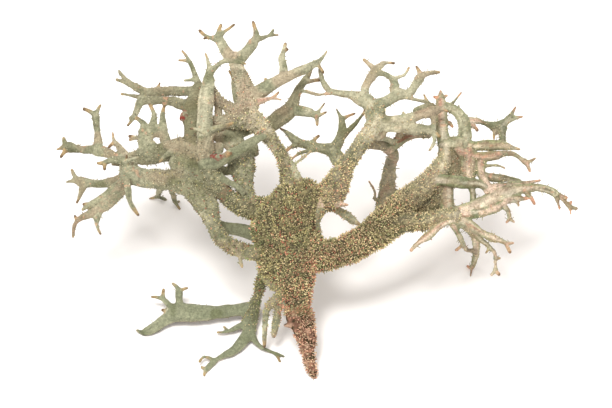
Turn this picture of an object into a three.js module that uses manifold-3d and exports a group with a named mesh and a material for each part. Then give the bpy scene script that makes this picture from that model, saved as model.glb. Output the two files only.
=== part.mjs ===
// A clump of grey-green lichen, as picked: a brown holdfast, a thick warty trunk and the forked fronds on it
// Millimetres, +Z up. The clump leans back and rests on its holdfast and on the low tips of its fronds.
import * as THREE from "three";
import Module from "manifold-3d";

// Frame of the branches
// The fronds spread in a leaning plane: u runs to the right, v up the lean and w out of its upper face.
const LEAN = THREE.MathUtils.degToRad(50);
const SIN_LEAN = Math.sin(LEAN);
const COS_LEAN = Math.cos(LEAN);
const FOOTPRINT_CENTRE = new THREE.Vector2(1.85, 28.85);
// Past the trunk the plane droops on both sides and towards its top, as the fronds do.
const SIDE_DROOP = 1 / 210;
const TOP_DROOP = 1 / 190;
const DROOP_START = 20;
const FAN_FACING = new THREE.Vector3(0, -COS_LEAN, SIN_LEAN);
const FLOOR_FACING = new THREE.Vector3(0, 0, 1);

// Form of a lobe, with its thickness as a share of its width
const FLATNESS = 0.42;
const THICK = 0.5;
const THICKEST = 0.6;
const ROUNDEST = 1.2;
const LEAST_HALF_THICKNESS = 0.3;
const EXTRA_HALF_THICKNESS = 0.12;
const TRUNK_SIDES = 12;
const LIMB_SIDES = 8;
const LOBE_SIDES = 6;
const SPRIG_SIDES = 4;
const SPRIG_HALF_WIDTH = 0.85;
const TIP_HALF_WIDTH = 0.16;
const LEAST_PRONG = 0.24;
const PRONG_SHARE = 0.66;
const ROUND_END = 0.7;

// Warts of the trunk and limbs
const WART_LENGTH = 0.95;
const WART_RADIUS = 0.42;
const WART_ROOT = 0.45;
const WART_LEAN = 0.35;
const WART_CLEARANCE = 0.7;
const WART_FOOT = 0.93;
const LEAST_WART = 0.75;
const WART_SPREAD = 0.5;
const GOLDEN_ANGLE = Math.PI * (3 - Math.sqrt(5));
const WART_SEED = 41;

// Fit of one node to the next
const JOINT_GAP = 0.3;
const FLOOR_BLOCK = 200;

const wasm = await Module();
wasm.setup();

// Repeatable random numbers from 0 to 1
function seededRandom(seed) {
  let state = seed;
  return () => {
    state = (state + 0x6d2b79f5) | 0;
    let mixed = Math.imul(state ^ (state >>> 15), 1 | state);
    mixed = (mixed + Math.imul(mixed ^ (mixed >>> 7), 61 | mixed)) ^ mixed;
    return ((mixed ^ (mixed >>> 14)) >>> 0) / 2 ** 32;
  };
}

// How far the plane has drooped at a place
function droop(u, v) {
  return SIDE_DROOP * u ** 2 + TOP_DROOP * Math.max(0, v - DROOP_START) ** 2;
}

// Point of the part's frame from a place on the leaning plane
function leaningPoint(u, v, w) {
  const out = w - droop(u, v);
  return new THREE.Vector3(
    u - FOOTPRINT_CENTRE.x,
    v * SIN_LEAN - out * COS_LEAN - FOOTPRINT_CENTRE.y,
    v * COS_LEAN + out * SIN_LEAN,
  );
}

// Distance out of the plane that brings a place to a height over the floor
function outFor(u, v, height) {
  return (height - v * COS_LEAN) / SIN_LEAN + droop(u, v);
}

// Same point, with the height over the floor in place of the distance from the plane
function lyingPoint(u, v, height) {
  return leaningPoint(u, v, outFor(u, v, height));
}

// Tip of a leaning lobe at a height over the floor
function tipAtHeight(u, v, height) {
  return [u, v, outFor(u, v, height)];
}

// Station of a leaning lobe at a height over the floor
function atHeight(u, v, height, halfWidth) {
  return [...tipAtHeight(u, v, height), halfWidth];
}

// A lobe is a flattened tube through its stations, each [u, v, w, half width], with prongs from the last one.
function lobe(stations, tips = [], form = {}) {
  return { stations, tips, facing: FAN_FACING, point: leaningPoint, ...form };
}

// A lobe that lies along the floor has heights for w.
function lyingLobe(stations, tips = []) {
  return lobe(stations, tips, { facing: FLOOR_FACING, point: lyingPoint });
}

// A thick round limb, which carries lobes and may be warty
function limb(stations, form = {}) {
  return lobe(stations, [], { sides: LIMB_SIDES, flatness: THICK, ...form });
}

function halfThickness(halfWidth, flatness) {
  return Math.max(LEAST_HALF_THICKNESS, flatness * halfWidth + EXTRA_HALF_THICKNESS);
}

// Stations of a lobe in the part's frame, with its first prong as the last one
function spineOf({ stations, tips, point, flatness = FLATNESS }) {
  const places = tips.length ? [...stations, [...tips[0], TIP_HALF_WIDTH]] : stations;
  return places.map(([u, v, w, halfWidth]) => ({
    centre: point(u, v, w),
    halfWidth,
    halfThickness: Math.min(ROUNDEST * halfWidth, halfThickness(halfWidth, flatness)),
  }));
}

// Each further prong starts inside the end of its lobe and narrows to a blunt tip.
function prongSpines({ stations, tips, point }) {
  const [u, v, w, halfWidth] = stations.at(-1);
  const root = Math.max(LEAST_PRONG, PRONG_SHARE * halfWidth);
  return tips.slice(1).map((tip) => [
    { centre: point(u, v, w), halfWidth: root, halfThickness: LEAST_HALF_THICKNESS },
    { centre: point(...tip), halfWidth: TIP_HALF_WIDTH, halfThickness: TIP_HALF_WIDTH },
  ]);
}

// Axes of the section at one station: across the lobe, out of its face and along it
function sectionAxes(spine, index, facing, turn) {
  const before = spine[Math.max(0, index - 1)].centre;
  const after = spine[Math.min(spine.length - 1, index + 1)].centre;
  const along = after.clone().sub(before).normalize();
  const across = facing.clone().cross(along).normalize();
  across.applyAxisAngle(along, THREE.MathUtils.degToRad(turn));
  return { across, out: along.clone().cross(across), along };
}

function solidOf(vertices, triangles) {
  const vertProperties = new Float32Array(vertices.flatMap((vertex) => vertex.toArray()));
  const triVerts = new Uint32Array(triangles);
  return new wasm.Manifold(new wasm.Mesh({ numProp: 3, vertProperties, triVerts }));
}

// Closed tube through a spine, with rounded ends
function tubeSolid(spine, facing, sides, turn, swell) {
  const axes = spine.map((station, index) => sectionAxes(spine, index, facing, turn));
  const vertices = spine.flatMap((station, index) =>
    Array.from({ length: sides }, (_, side) => {
      const angle = (2 * Math.PI * side) / sides;
      const rim = station.centre.clone();
      rim.addScaledVector(axes[index].across, (station.halfWidth + swell) * Math.cos(angle));
      return rim.addScaledVector(axes[index].out, (station.halfThickness + swell) * Math.sin(angle));
    }),
  );
  const startReach = -(ROUND_END * spine[0].halfThickness + swell);
  const endReach = ROUND_END * spine.at(-1).halfWidth + swell;
  const startPole = vertices.length;
  const endPole = startPole + 1;
  vertices.push(spine[0].centre.clone().addScaledVector(axes[0].along, startReach));
  vertices.push(spine.at(-1).centre.clone().addScaledVector(axes.at(-1).along, endReach));
  const triangles = [];
  const top = (spine.length - 1) * sides;
  for (let side = 0; side < sides; side += 1) {
    const next = (side + 1) % sides;
    for (let low = 0; low < top; low += sides) {
      const high = low + sides;
      triangles.push(low + side, low + next, high + next);
      triangles.push(low + side, high + next, high + side);
    }
    triangles.push(startPole, next, side);
    triangles.push(endPole, top + side, top + next);
  }
  return solidOf(vertices, triangles);
}

// All tubes of one frond, joined
function frondSolid(branches, swell = 0) {
  const tubes = branches.flatMap((branch) => {
    const { facing, turn = 0 } = branch;
    const spine = spineOf(branch);
    const widest = Math.max(...spine.map((station) => station.halfWidth));
    const sides = branch.sides ?? (widest < SPRIG_HALF_WIDTH ? SPRIG_SIDES : LOBE_SIDES);
    const body = tubeSolid(spine, facing, sides, turn, swell);
    const prongs = prongSpines(branch).map((prong) => tubeSolid(prong, facing, SPRIG_SIDES, turn, swell));
    return [body, ...prongs];
  });
  return wasm.Manifold.union(tubes);
}

// Distance from a point to the flesh of a spine, less than zero inside it
function clearance(point, spine) {
  const nearest = new THREE.Vector3();
  let least = Infinity;
  for (let i = 0; i + 1 < spine.length; i += 1) {
    new THREE.Line3(spine[i].centre, spine[i + 1].centre).closestPointToPoint(point, true, nearest);
    const thickest = Math.max(spine[i].halfWidth, spine[i + 1].halfWidth);
    least = Math.min(least, nearest.distanceTo(point) - thickest);
  }
  return least;
}

// One wart: a three-sided peg with its root sunk in the limb
function wartSolid(foot, out, random) {
  const tilt = new THREE.Vector3(random() - 0.5, random() - 0.5, random() - 0.5);
  const axis = out.clone().addScaledVector(tilt, 2 * WART_LEAN).normalize();
  const across = axis.clone().cross(tilt).normalize();
  const second = axis.clone().cross(across);
  const size = LEAST_WART + WART_SPREAD * random();
  const base = foot.clone().addScaledVector(axis, -WART_ROOT);
  const corners = [0, 1, 2].map((corner) => {
    const angle = (2 * Math.PI * corner) / 3;
    const rim = base.clone().addScaledVector(across, WART_RADIUS * size * Math.cos(angle));
    return rim.addScaledVector(second, WART_RADIUS * size * Math.sin(angle));
  });
  const tip = foot.clone().addScaledVector(axis, WART_LENGTH * size);
  return solidOf([...corners, tip], [0, 2, 1, 0, 1, 3, 1, 2, 3, 2, 0, 3]);
}

// Warts wind round each warty limb by the golden angle and keep clear of the other nodes.
function wartSolids(branches, otherSpines, random) {
  return branches.flatMap((branch) => {
    const { facing, turn = 0, warts = 0 } = branch;
    const spine = spineOf(branch);
    const solids = [];
    for (let i = 0; i < warts; i += 1) {
      const place = ((i + 0.5) / warts) * (spine.length - 1);
      const index = Math.min(spine.length - 2, Math.floor(place));
      const share = place - index;
      const [low, high] = [spine[index], spine[index + 1]];
      const { across, out } = sectionAxes(spine, index, facing, turn);
      const wide = THREE.MathUtils.lerp(low.halfWidth, high.halfWidth, share);
      const deep = THREE.MathUtils.lerp(low.halfThickness, high.halfThickness, share);
      const angle = i * GOLDEN_ANGLE + random();
      const foot = low.centre.clone().lerp(high.centre, share);
      foot.addScaledVector(across, WART_FOOT * wide * Math.cos(angle));
      foot.addScaledVector(out, WART_FOOT * deep * Math.sin(angle));
      const normal = across.clone().multiplyScalar(Math.cos(angle) / wide);
      normal.addScaledVector(out, Math.sin(angle) / deep).normalize();
      const wart = wartSolid(foot, normal, random);
      if (otherSpines.every((other) => clearance(foot, other) > WART_CLEARANCE)) solids.push(wart);
    }
    return solids;
  });
}

// Block below the floor, which cuts the low tips flat
function belowFloor() {
  const corners = [-FLOOR_BLOCK, 0].flatMap((z) =>
    [[-1, -1], [1, -1], [1, 1], [-1, 1]].map(
      ([x, y]) => new THREE.Vector3(x * FLOOR_BLOCK, y * FLOOR_BLOCK, z),
    ),
  );
  const faces = [0, 2, 1, 0, 3, 2, 4, 5, 6, 4, 6, 7];
  for (let side = 0; side < 4; side += 1) {
    const next = (side + 1) % 4;
    faces.push(side, next, next + 4, side, next + 4, side + 4);
  }
  return solidOf(corners, faces);
}

// Largest body of a solid, without the scraps that a cut leaves
function mainBody(solid) {
  return solid.decompose().reduce((best, body) => (body.volume() > best.volume() ? body : best));
}

function meshOf(name, solid, material) {
  const { vertProperties, triVerts } = solid.getMesh();
  const geometry = new THREE.BufferGeometry();
  geometry.setAttribute("position", new THREE.BufferAttribute(new Float32Array(vertProperties), 3));
  geometry.setIndex(new THREE.BufferAttribute(new Uint32Array(triVerts), 1));
  geometry.computeVertexNormals();
  const mesh = new THREE.Mesh(geometry, material);
  mesh.name = name;
  return mesh;
}

// Brown spike by which the clump held to its bark
function holdfast() {
  return [
    limb(
      [
        [-1.6, 12.4, 0, 2.4],
        [-1.2, 11.2, 0.1, 2.4],
        [-0.6, 9.6, 0.2, 2.3],
        [-0.2, 8, 0.3, 1.85],
        [0.2, 6.2, 0.3, 1.5],
        [0.4, 4.4, 0.3, 1.15],
        [0.8, 2.5, 0.3, 1],
        [1.2, 1, 0.3, 0.75],
        [1.6, 0.1, 0.1, 0.35],
      ],
      { flatness: THICKEST, warts: 44 },
    ),
    lobe([[-1.4, 9.7, 0.3, 0.9], [-2.6, 9.5, 0.4, 0.7]], [[-3.8, 9.5, 0.5]]),
  ];
}

// Trunk with the small lobes that hang from it and stand behind it
function trunk() {
  return [
    limb(
      [
        [-1.7, 12.9, 0, 2.6],
        [-2, 15, 0, 3.2],
        [-2.3, 17, 0, 3.9],
        [-3, 19, 0, 5],
        [-3.1, 21.5, 0, 5.7],
        [-3.3, 25, 0, 5.7],
        [-3.7, 28, 0, 5.9],
        [-2.4, 30.8, 0, 6],
        [-0.2, 33, 0, 4.9],
        [1, 34.9, 0.2, 3.3],
      ],
      { sides: TRUNK_SIDES, warts: 144 },
    ),
    lobe(
      [
        [-4.4, 14.8, -0.2, 0.9], [-6.2, 13.5, -0.2, 0.8], [-7.1, 11.8, -0.6, 0.6],
        [-7.2, 8, -1.6, 0.42],
      ],
      [[-7.5, 5.6, -2.2]],
    ),
    lobe(
      [[-4.6, 13.9, -0.4, 0.6], [-5.6, 11.6, -0.8, 0.58], [-5.9, 9.6, -1.4, 0.6], [-6, 7.9, -1.8, 0.5]],
      [[-6, 6.9, -2]],
    ),
    lobe(
      [[2.4, 31.4, -0.8, 0.7], [5, 30.5, -1.6, 0.6], [7, 29.3, -2.2, 0.6], [8.3, 28.4, -2.6, 0.45]],
      [[9.5, 27.6, -2.8], [9, 29, -2.2]],
    ),
    lobe([[4.2, 31.4, 0.2, 0.6], [5.8, 31.7, 0.5, 0.5]], [[7.3, 32.2, 0.8]]),
  ];
}

// Left frond: the lower limb
function lowerLeftLimb() {
  return [
    limb(
      [
        [-5.5, 22.6, 0, 1.9],
        [-8.5, 22.4, 0.4, 1.5],
        [-12, 23.2, 1, 1.4],
        [-15, 24.7, 1.5, 1.45],
        [-17, 28, 2, 1.6],
        [-18.6, 31, 2.2, 1.9],
        [-20.6, 33.6, 2.4, 2.2],
        [-23.2, 35.7, 2.3, 2.1],
        [-26, 36.2, 2, 1.8],
        [-29, 36.2, 1.6, 1.7],
        [-31.9, 36.7, 1.2, 1.7],
      ],
      { warts: 34 },
    ),
    lobe([
      [-7.6, 24.4, -1.4, 0.7],
      [-9.5, 25.8, -2, 1.1],
      [-12.2, 27.1, -2.4, 1.1],
      [-15.3, 27.5, -1.6, 0.9],
      [-17.4, 28.8, 0.6, 0.9],
    ]),
  ];
}

// Left frond: the upper limb and the lobes about its end
function upperLeftLimb() {
  return [
    limb(
      [
        [-6, 30.8, 0, 2.2],
        [-9, 30.5, 0, 2],
        [-11.5, 30.7, 0.2, 1.7],
        [-13.7, 31.4, 0.4, 1.5],
        [-15.4, 33.2, 0.8, 1.5],
        [-17.1, 36, 1.2, 1.7],
        [-18.4, 39, 1.2, 1.6],
        [-18.3, 42, 1.4, 1.2],
        [-18.3, 45, 1.8, 1.3],
      ],
      { warts: 22 },
    ),
    lobe(
      [[-9.8, 31.2, -0.5, 1.3], [-10.4, 34, -1, 1.25], [-10.3, 37, -1.2, 1.25], [-10.2, 39.8, -1, 1.2]],
    ),
    lobe([
      [-10.2, 39.4, -1, 1.2],
      [-11.8, 41.2, -1.4, 1.4],
      [-13.4, 43, -2, 1.6],
      [-15.4, 44.4, -1.6, 1.2],
      [-17.6, 45, 0.4, 0.9],
    ]),
    lobe(
      [
        [-18.6, 38.3, 2.2, 1.2], [-15.6, 39, 3.2, 1], [-13, 40.4, 3.3, 1], [-10.5, 41.8, 3, 1],
        [-8.4, 43.2, 2.8, 0.7],
      ],
    ),
    lobe(
      [
        [-15.3, 36.4, 1.4, 0.6], [-13.6, 35.4, 2, 0.55], [-12.4, 34.6, 1.9, 0.55],
        [-11.4, 33.4, 0.8, 0.6],
      ],
    ),
    lobe([[-16.8, 39.6, 2.4, 0.8], [-15.6, 39.9, 3.9, 0.75]], [[-13.8, 40.3, 4.4]]),
  ];
}

// Left frond: the tall lobes over its upper limb
function leftPillars() {
  return [
    lobe(
      [
        [-18.3, 44, 1.8, 1.3],
        [-18.4, 48, 2.2, 1.25],
        [-18.3, 51, 2.4, 1.15],
        [-18.1, 53.6, 2.6, 1.05],
        [-17.7, 55.3, 2.8, 0.75],
      ],
      [[-18.2, 58.4, 3.2]],
    ),
    lobe(
      [[-17.9, 55, 2.8, 0.6], [-16, 56.6, 3.2, 0.42], [-14.5, 57.3, 3.2, 0.32]],
      [[-11.5, 56.9, 3.6]],
    ),
    lobe([
      [-18.8, 40.2, 0.8, 1.5],
      [-20.4, 43, 0.2, 1.5],
      [-20.8, 45.5, -0.2, 1.4],
      [-20.9, 48, -0.6, 1.5],
      [-20.3, 50.4, -1, 1.5],
      [-19.6, 53, -1.6, 0.95],
    ]),
    lobe([[-21.3, 47.4, 0, 0.8], [-22.2, 47, 0.2, 0.8]]),
    lobe(
      [
        [-19.4, 51.7, -1.4, 0.9], [-23.5, 51.7, -2, 0.95], [-27, 51.5, -2.6, 0.9],
        [-29.7, 51.5, -3, 0.9],
      ],
    ),
    lobe(
      [
        [-20.4, 49.8, -1.1, 0.8], [-23.5, 49.8, -1.4, 0.65], [-27, 49.9, -2, 0.7],
        [-29.8, 50.2, -2.6, 0.8],
      ],
    ),
    lobe(
      [[-29.4, 51.2, -2.9, 0.9], [-31.2, 52.7, -3.2, 0.55]],
      [[-34.1, 55.4, -3.6], [-34.2, 54.3, -3]],
    ),
    lobe([[-29.6, 51, -2.8, 0.7], [-31.2, 51, -2.8, 0.4]], [[-33.5, 51.5, -2.6]]),
    lobe(
      [[-29.7, 50.6, -2.6, 0.8], [-30.3, 49.2, -2.4, 0.55], [-30.8, 47.6, -2.2, 0.45]],
      [[-32.3, 45.6, -2], [-32, 46.9, -2]],
    ),
    lobe(
      [[-19.7, 52.6, -1.6, 0.85], [-20, 55, -1.9, 0.55], [-20.5, 56.6, -2, 0.5]],
      [[-22.4, 59, -2.4], [-23, 57.3, -2]],
    ),
    lobe([[-18.2, 44.2, 3, 0.6], [-16.4, 44.9, 3.2, 0.45], [-14.8, 45.3, 3, 0.4]], [[-13, 46.2, 2.8]]),
    lobe([[-18.2, 44.4, 2.8, 0.55], [-19.2, 44.7, 3, 0.4]], [[-20.8, 44.9, 3.2]]),
  ];
}

// Left frond: the antlers at its far end
function leftAntlers() {
  return [
    limb(
      [
        [-19.4, 40.4, 0.6, 1.8], [-22.6, 41, 0.2, 1.7], [-26, 40.9, -0.4, 1.6], [-29, 40.3, -0.8, 1.2],
        [-31.8, 39.7, -0.8, 0.9],
      ],
    ),
    limb([[-21.6, 36.4, 1.6, 1.8], [-21.4, 39.6, 0.8, 1.8]]),
    limb([[-31.3, 36.6, 1.2, 1.6], [-32.3, 38.6, 0.2, 1.4]]),
    lobe([[-23.2, 41.6, 1.4, 0.6], [-25, 40.3, 1.8, 0.5]], [[-26.4, 38.8, 1.8]]),
    lobe([[-32.2, 39.3, -0.4, 1], [-35.5, 40.3, -1.6, 0.9], [-37.9, 41.3, -2.4, 1.15]]),
    lobe(
      [[-37.7, 41.2, -2.4, 0.9], [-41, 41.2, -2.8, 0.75], [-43, 41.4, -3, 0.95]],
      [[-44.1, 43.3, -3.4], [-45.3, 41.2, -3], [-44.5, 39.8, -2.6]],
    ),
    lobe(
      [[-37.7, 41.4, -2.4, 0.95], [-37.7, 44.2, -3.4, 0.58], [-38, 46.8, -4, 0.7]],
      [[-37.3, 49.1, -4.6], [-40.4, 48.4, -4.2]],
    ),
    lobe(
      [[-32.8, 39.9, -0.8, 0.6], [-34.5, 42.3, -1, 0.5]],
      [[-34.9, 44.2, -1.2], [-36.4, 41.7, -0.6]],
    ),
    lobe(
      [[-32.4, 39, 1.2, 0.7], [-35.5, 39, 3, 0.6], [-36.3, 38.8, 3.4, 0.5]],
      [[-37.6, 38.7, 3.8], [-36.6, 37.3, 4]],
    ),
    lobe(
      [[-32.2, 36.2, 0.6, 1.1], [-36, 35.4, -0.4, 0.75], [-39, 35, -1, 0.8], [-41, 35.3, -1.2, 0.9]],
      [[-42.4, 37.4, -1.6], [-43.3, 35.3, -1.2], [-41.4, 31.7, -0.4]],
    ),
    lobe(
      [[-32.6, 36, 1.4, 0.8], [-36.5, 33.3, 2.2, 0.6], [-38.7, 31.9, 2.6, 0.5]],
      [[-40.5, 30.4, 3], [-40.2, 31.6, 2.8]],
    ),
    lobe(
      [
        [-32.2, 35.8, 1.6, 1.3], [-34.5, 33, 2, 1.1], [-36.5, 31, 2.2, 0.95], [-38.5, 29.7, 2.2, 0.8],
        [-40.5, 29, 2, 0.6], [-41.6, 28, 1.8, 0.42],
      ],
      [[-42.1, 25.5, 1.4], [-42.2, 29.3, 2]],
    ),
    lobe([[-37.3, 30.4, 2.2, 0.8], [-37.7, 28, 2, 0.6]], [[-37, 26, 1.8]]),
    lobe(
      [[-32.4, 37.6, 1.8, 0.9], [-32.5, 35, 3.2, 0.62], [-31.9, 32.6, 3.6, 0.5]],
      [[-30.3, 29.2, 3.6]],
    ),
    lobe(
      [[-27.6, 40.8, -0.4, 1.4], [-29, 43.2, -1, 1.15], [-28.7, 45.6, -1.6, 1]],
      [[-30.8, 47.9, -2.2]],
    ),
    lobe([[-28.2, 44.6, -1.4, 0.8], [-27.6, 47, -2, 0.5]], [[-28.3, 49.3, -2.2]]),
    lobe(
      [
        [-25, 41.4, -0.3, 1.2], [-25.5, 44, -1, 0.95], [-25.8, 46.4, -1.5, 0.65],
        [-25.8, 47.7, -1.8, 0.45],
      ],
      [[-25.5, 48.9, -2]],
    ),
    lobe([[-28.4, 44.1, -1.2, 0.7], [-25.8, 44, -1.1, 0.7]]),
  ];
}

// Left frond: the lobes that bend back behind it to the floor
function leftHindLobes() {
  return [
    lobe([
      [-20.6, 34.6, 1.2, 1.6],
      [-22.4, 35.2, -2.4, 1.5],
      atHeight(-24.2, 35.8, 13.5, 1.5),
      atHeight(-25.4, 35.2, 8, 1.5),
    ]),
    lobe([atHeight(-25.2, 35.3, 9, 1.3), atHeight(-26.4, 34.2, 4.4, 0.9), atHeight(-27.2, 33, 1.6, 0.7)], [
      tipAtHeight(-28.4, 32, 0.02),
      tipAtHeight(-25.6, 32.1, 0.02),
    ]),
    lobe([atHeight(-25, 35.4, 9, 1.1), atHeight(-24.2, 33.4, 4.4, 0.8), atHeight(-23.6, 31.8, 1.4, 0.6)], [
      tipAtHeight(-22.8, 30.3, 0.02),
      tipAtHeight(-22.5, 31.8, 0.02),
    ]),
    lobe([atHeight(-24, 35.7, 14, 1.1), atHeight(-26.6, 37, 12.4, 0.8), atHeight(-28.4, 37.4, 11, 0.6)], [
      tipAtHeight(-31, 37.6, 10),
      tipAtHeight(-29.6, 36.4, 8.6),
    ]),
  ];
}

// Top frond: the middle limb and its forked crown
function topFrond() {
  return [
    limb(
      [
        [-2.2, 33.2, 0.2, 2.6],
        [-2.9, 35.8, 0.6, 2.1],
        [-3.6, 38, 0.9, 1.6],
        [-4.9, 40.5, 1.1, 1.35],
        [-6.3, 43, 1.1, 1.4],
        [-8, 45.3, 1, 1.9],
        [-9.3, 47.8, 0.6, 2.2],
        [-10, 50, 0.2, 2.2],
        [-11.2, 53, -0.4, 1.6],
        [-12.3, 55.8, -1, 1.2],
        [-13.1, 57.9, -1.4, 1.3],
      ],
      { warts: 36 },
    ),
    limb([[-9, 46, 0.5, 1.8], [-12, 46.2, 0, 1.4], [-14.8, 45.8, -0.4, 0.9]]),
    lobe(
      [
        [-10.4, 48.6, 0.3, 1.6], [-12.8, 48.4, 0, 1.2], [-14.6, 49.4, -0.1, 0.95],
        [-15.9, 50.6, -0.3, 0.8],
      ],
      [[-17, 54, -0.9]],
    ),
    lobe(
      [[-13.4, 57.6, -1.4, 1.1], [-15, 60.3, -1.4, 0.9], [-15.6, 61.3, -1.4, 0.8]],
      [[-15.4, 63.9, -1.6], [-13.1, 63.5, -1.8]],
    ),
    lobe(
      [[-15.4, 61.1, -1.4, 0.7], [-17.4, 61.5, -1.4, 0.4]],
      [[-19.3, 62.8, -1.6], [-18.5, 61.3, -1]],
    ),
    lobe(
      [[-12.6, 57.7, -1.6, 1.2], [-10.8, 59.4, -2.2, 1], [-9.4, 60.9, -2.8, 0.85]],
      [[-9.6, 64.3, -3.2]],
    ),
    lobe([[-9.6, 60.9, -2.8, 0.6], [-7.2, 61.7, -3.2, 0.35]], [[-5.1, 62, -3.6], [-5.9, 62.9, -3.4]]),
    lobe([[-12.2, 48.8, -1.6, 0.6], [-13.1, 52, -2.6, 0.5]], [[-13.9, 55.3, -3]]),
    lobe(
      [
        [-9.4, 50.8, 0, 1.7], [-6, 53, 0.6, 1.4], [-3, 54.5, 1.2, 1.15], [0, 55.8, 1.6, 0.9],
        [1.9, 56.8, 1.8, 0.62],
      ],
      [[3.8, 59, 2.2], [3.3, 55, 1.8]],
    ),
    lobe(
      [[-4.1, 54.5, 1, 0.8], [-4.4, 56.8, 0.6, 0.72], [-4.2, 58.3, 0.4, 0.5]],
      [[-3.9, 60.3, 0.2], [-3.1, 59, 0.4]],
    ),
    lobe([[-8.6, 49.8, 0.6, 0.6], [-6.4, 50.3, 1, 0.4]], [[-4.5, 50.1, 1.2], [-4.9, 51.5, 1]]),
    lobe(
      [
        [-7.4, 44.4, -0.6, 1.4], [-4.7, 46.8, -2.4, 1.5], [-2.7, 48.3, -3.2, 1.35],
        [-1.7, 50.3, -3.6, 1.1], [-1, 52.3, -3.8, 0.95], [0.1, 54.1, -4, 0.75],
      ],
      [[1, 55.8, -4]],
    ),
    lobe(
      [[-2, 48.4, -3.2, 1], [0.6, 48, -2.8, 0.85], [1.7, 47.5, -2.6, 0.55]],
      [[2.2, 45.3, -2.4], [3.8, 49.9, -2.6], [3.8, 48, -2.2]],
    ),
    lobe([[-0.3, 53.2, -3.8, 0.5], [1, 53.4, -3.8, 0.4]], [[2.5, 53.8, -3.6]]),
    lobe([[-1, 51.9, -3.8, 0.4], [0.6, 51.5, -3.6, 0.3]], [[2.6, 51.1, -3.2]]),
    lobe([[-2.4, 37.4, 0.6, 0.4], [-1.4, 38.7, 0.8, 0.26]], [[0.9, 40.8, 0.8]]),
    lobe([[-3, 39, 0.8, 0.7], [-1.9, 37.6, 1.4, 0.6]], [[-0.9, 36, 1.4]]),
  ];
}

// Centre frond: its limb and crown
function centreFrond() {
  return [
    limb(
      [
        [3.2, 31.8, 0, 2.8],
        [5.2, 35, 0.3, 2.5],
        [6.8, 38, 0.8, 1.9],
        [8.3, 40.6, 1.2, 1.7],
        [9.9, 43.3, 1.5, 1.9],
        [11.6, 45.8, 1.6, 2],
        [12.5, 48, 1.3, 1.75],
        [12.3, 50.3, 0.9, 1.7],
      ],
      { warts: 40 },
    ),
    lobe(
      [
        [12, 50.8, 0.8, 1.3], [8.8, 51.3, 0.6, 0.85], [6.2, 51.45, 0.4, 0.62], [4.4, 51.9, 0.2, 0.55],
        [3.6, 53.1, 0, 0.55], [3, 54.5, -0.2, 0.45],
      ],
      [[2.6, 56.2, -0.3]],
    ),
    lobe([[5.2, 51.3, 0.4, 0.35], [2.4, 51.1, 0.2, 0.27]], [[0, 51.9, 0.2]]),
    lobe(
      [[11.4, 50.6, 0.8, 1.2], [10.8, 52.6, 0.6, 0.9], [11.4, 54.2, 0.3, 0.85], [12.4, 55.4, 0, 0.85]],
      [[10.4, 57.3, -0.4]],
    ),
    lobe([[12.3, 55.4, 0, 0.7], [13.9, 56.8, -0.3, 0.42]], [[16, 56.8, -0.6]]),
    lobe(
      [[12.6, 55.2, 0, 0.55], [14.5, 54.6, -0.1, 0.45], [15.5, 53.4, 0, 0.7], [15.9, 51.6, 0.4, 0.95]],
    ),
    lobe([[15.4, 54, 0, 0.4], [17.5, 54.5, 0.2, 0.26]], [[18.7, 56, 0.3]]),
    lobe(
      [
        [12.2, 49.9, 0.9, 1.3], [14.4, 50.1, 0.9, 1], [16.5, 51.1, 0.8, 1.1], [18.6, 51.4, 0.6, 0.95],
        [19.9, 52.5, 0.4, 0.75], [20.5, 54, 0.2, 0.6],
      ],
      [[20, 56.4, -0.4], [24.2, 54.9, -0.6]],
    ),
    lobe(
      [[17, 50.7, 0.6, 0.4], [20.4, 50.2, 0.4, 0.3], [21.9, 49.8, 0.2, 0.3]],
      [[23.8, 49, 0], [21.3, 51.1, 0.4]],
    ),
    lobe(
      [
        [11.8, 46, 1.4, 1.5], [15.2, 46.4, 1.8, 1], [18, 46.8, 2.2, 1.1], [20.5, 46.8, 2.6, 1.3],
        [22.3, 45.6, 2.8, 1.1],
      ],
      [[24.2, 43.4, 2.8]],
    ),
    lobe([[22, 45.4, 2.8, 0.7], [22.8, 43.6, 3, 0.35]], [[22.1, 41.1, 3.2]]),
    lobe([[20.2, 47.2, 2.6, 1], [22.4, 48.2, 2.8, 0.9], [24, 48.5, 2.8, 0.6]], [[25.6, 48, 2.8]]),
  ];
}

// Centre frond: the lobe that stands behind its limb
function centreHindLobe() {
  return [
    lobe([[7, 38, 0, 1.4], [5.7, 39.5, -1.8, 1.4], [4.7, 41.3, -3.2, 1.3]]),
    lobe(
      [[4.9, 40.8, -3, 1.1], [6.3, 43.2, -3.6, 0.8], [6.8, 45, -4, 0.75], [6.5, 46.5, -4.2, 0.5]],
      [[5.6, 48.5, -4.6], [8.9, 47.8, -4.6]],
    ),
    lobe([[6.7, 44, -3.8, 0.7], [8.5, 45.8, -3, 0.45], [9.8, 47.2, -1.6, 0.35]], [[10.9, 48.4, 0.2]]),
    lobe(
      [
        [5, 41.3, -3.2, 1.1], [2, 41.7, -3.6, 0.8], [0, 42, -4, 0.8], [-2, 42.6, -4.6, 0.95],
        [-3.2, 43.6, -4.8, 0.65],
      ],
      [[-4.7, 44.9, -4.8]],
    ),
    lobe([[-1.6, 42.2, -4.4, 0.6], [-2.6, 41.7, -4.4, 0.45]], [[-3.8, 40.6, -4]]),
    lobe([[2.4, 41.4, -3.4, 0.5], [-0.5, 40.8, -3, 0.36]], [[-2.8, 39.1, -2.4]]),
  ];
}

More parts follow.
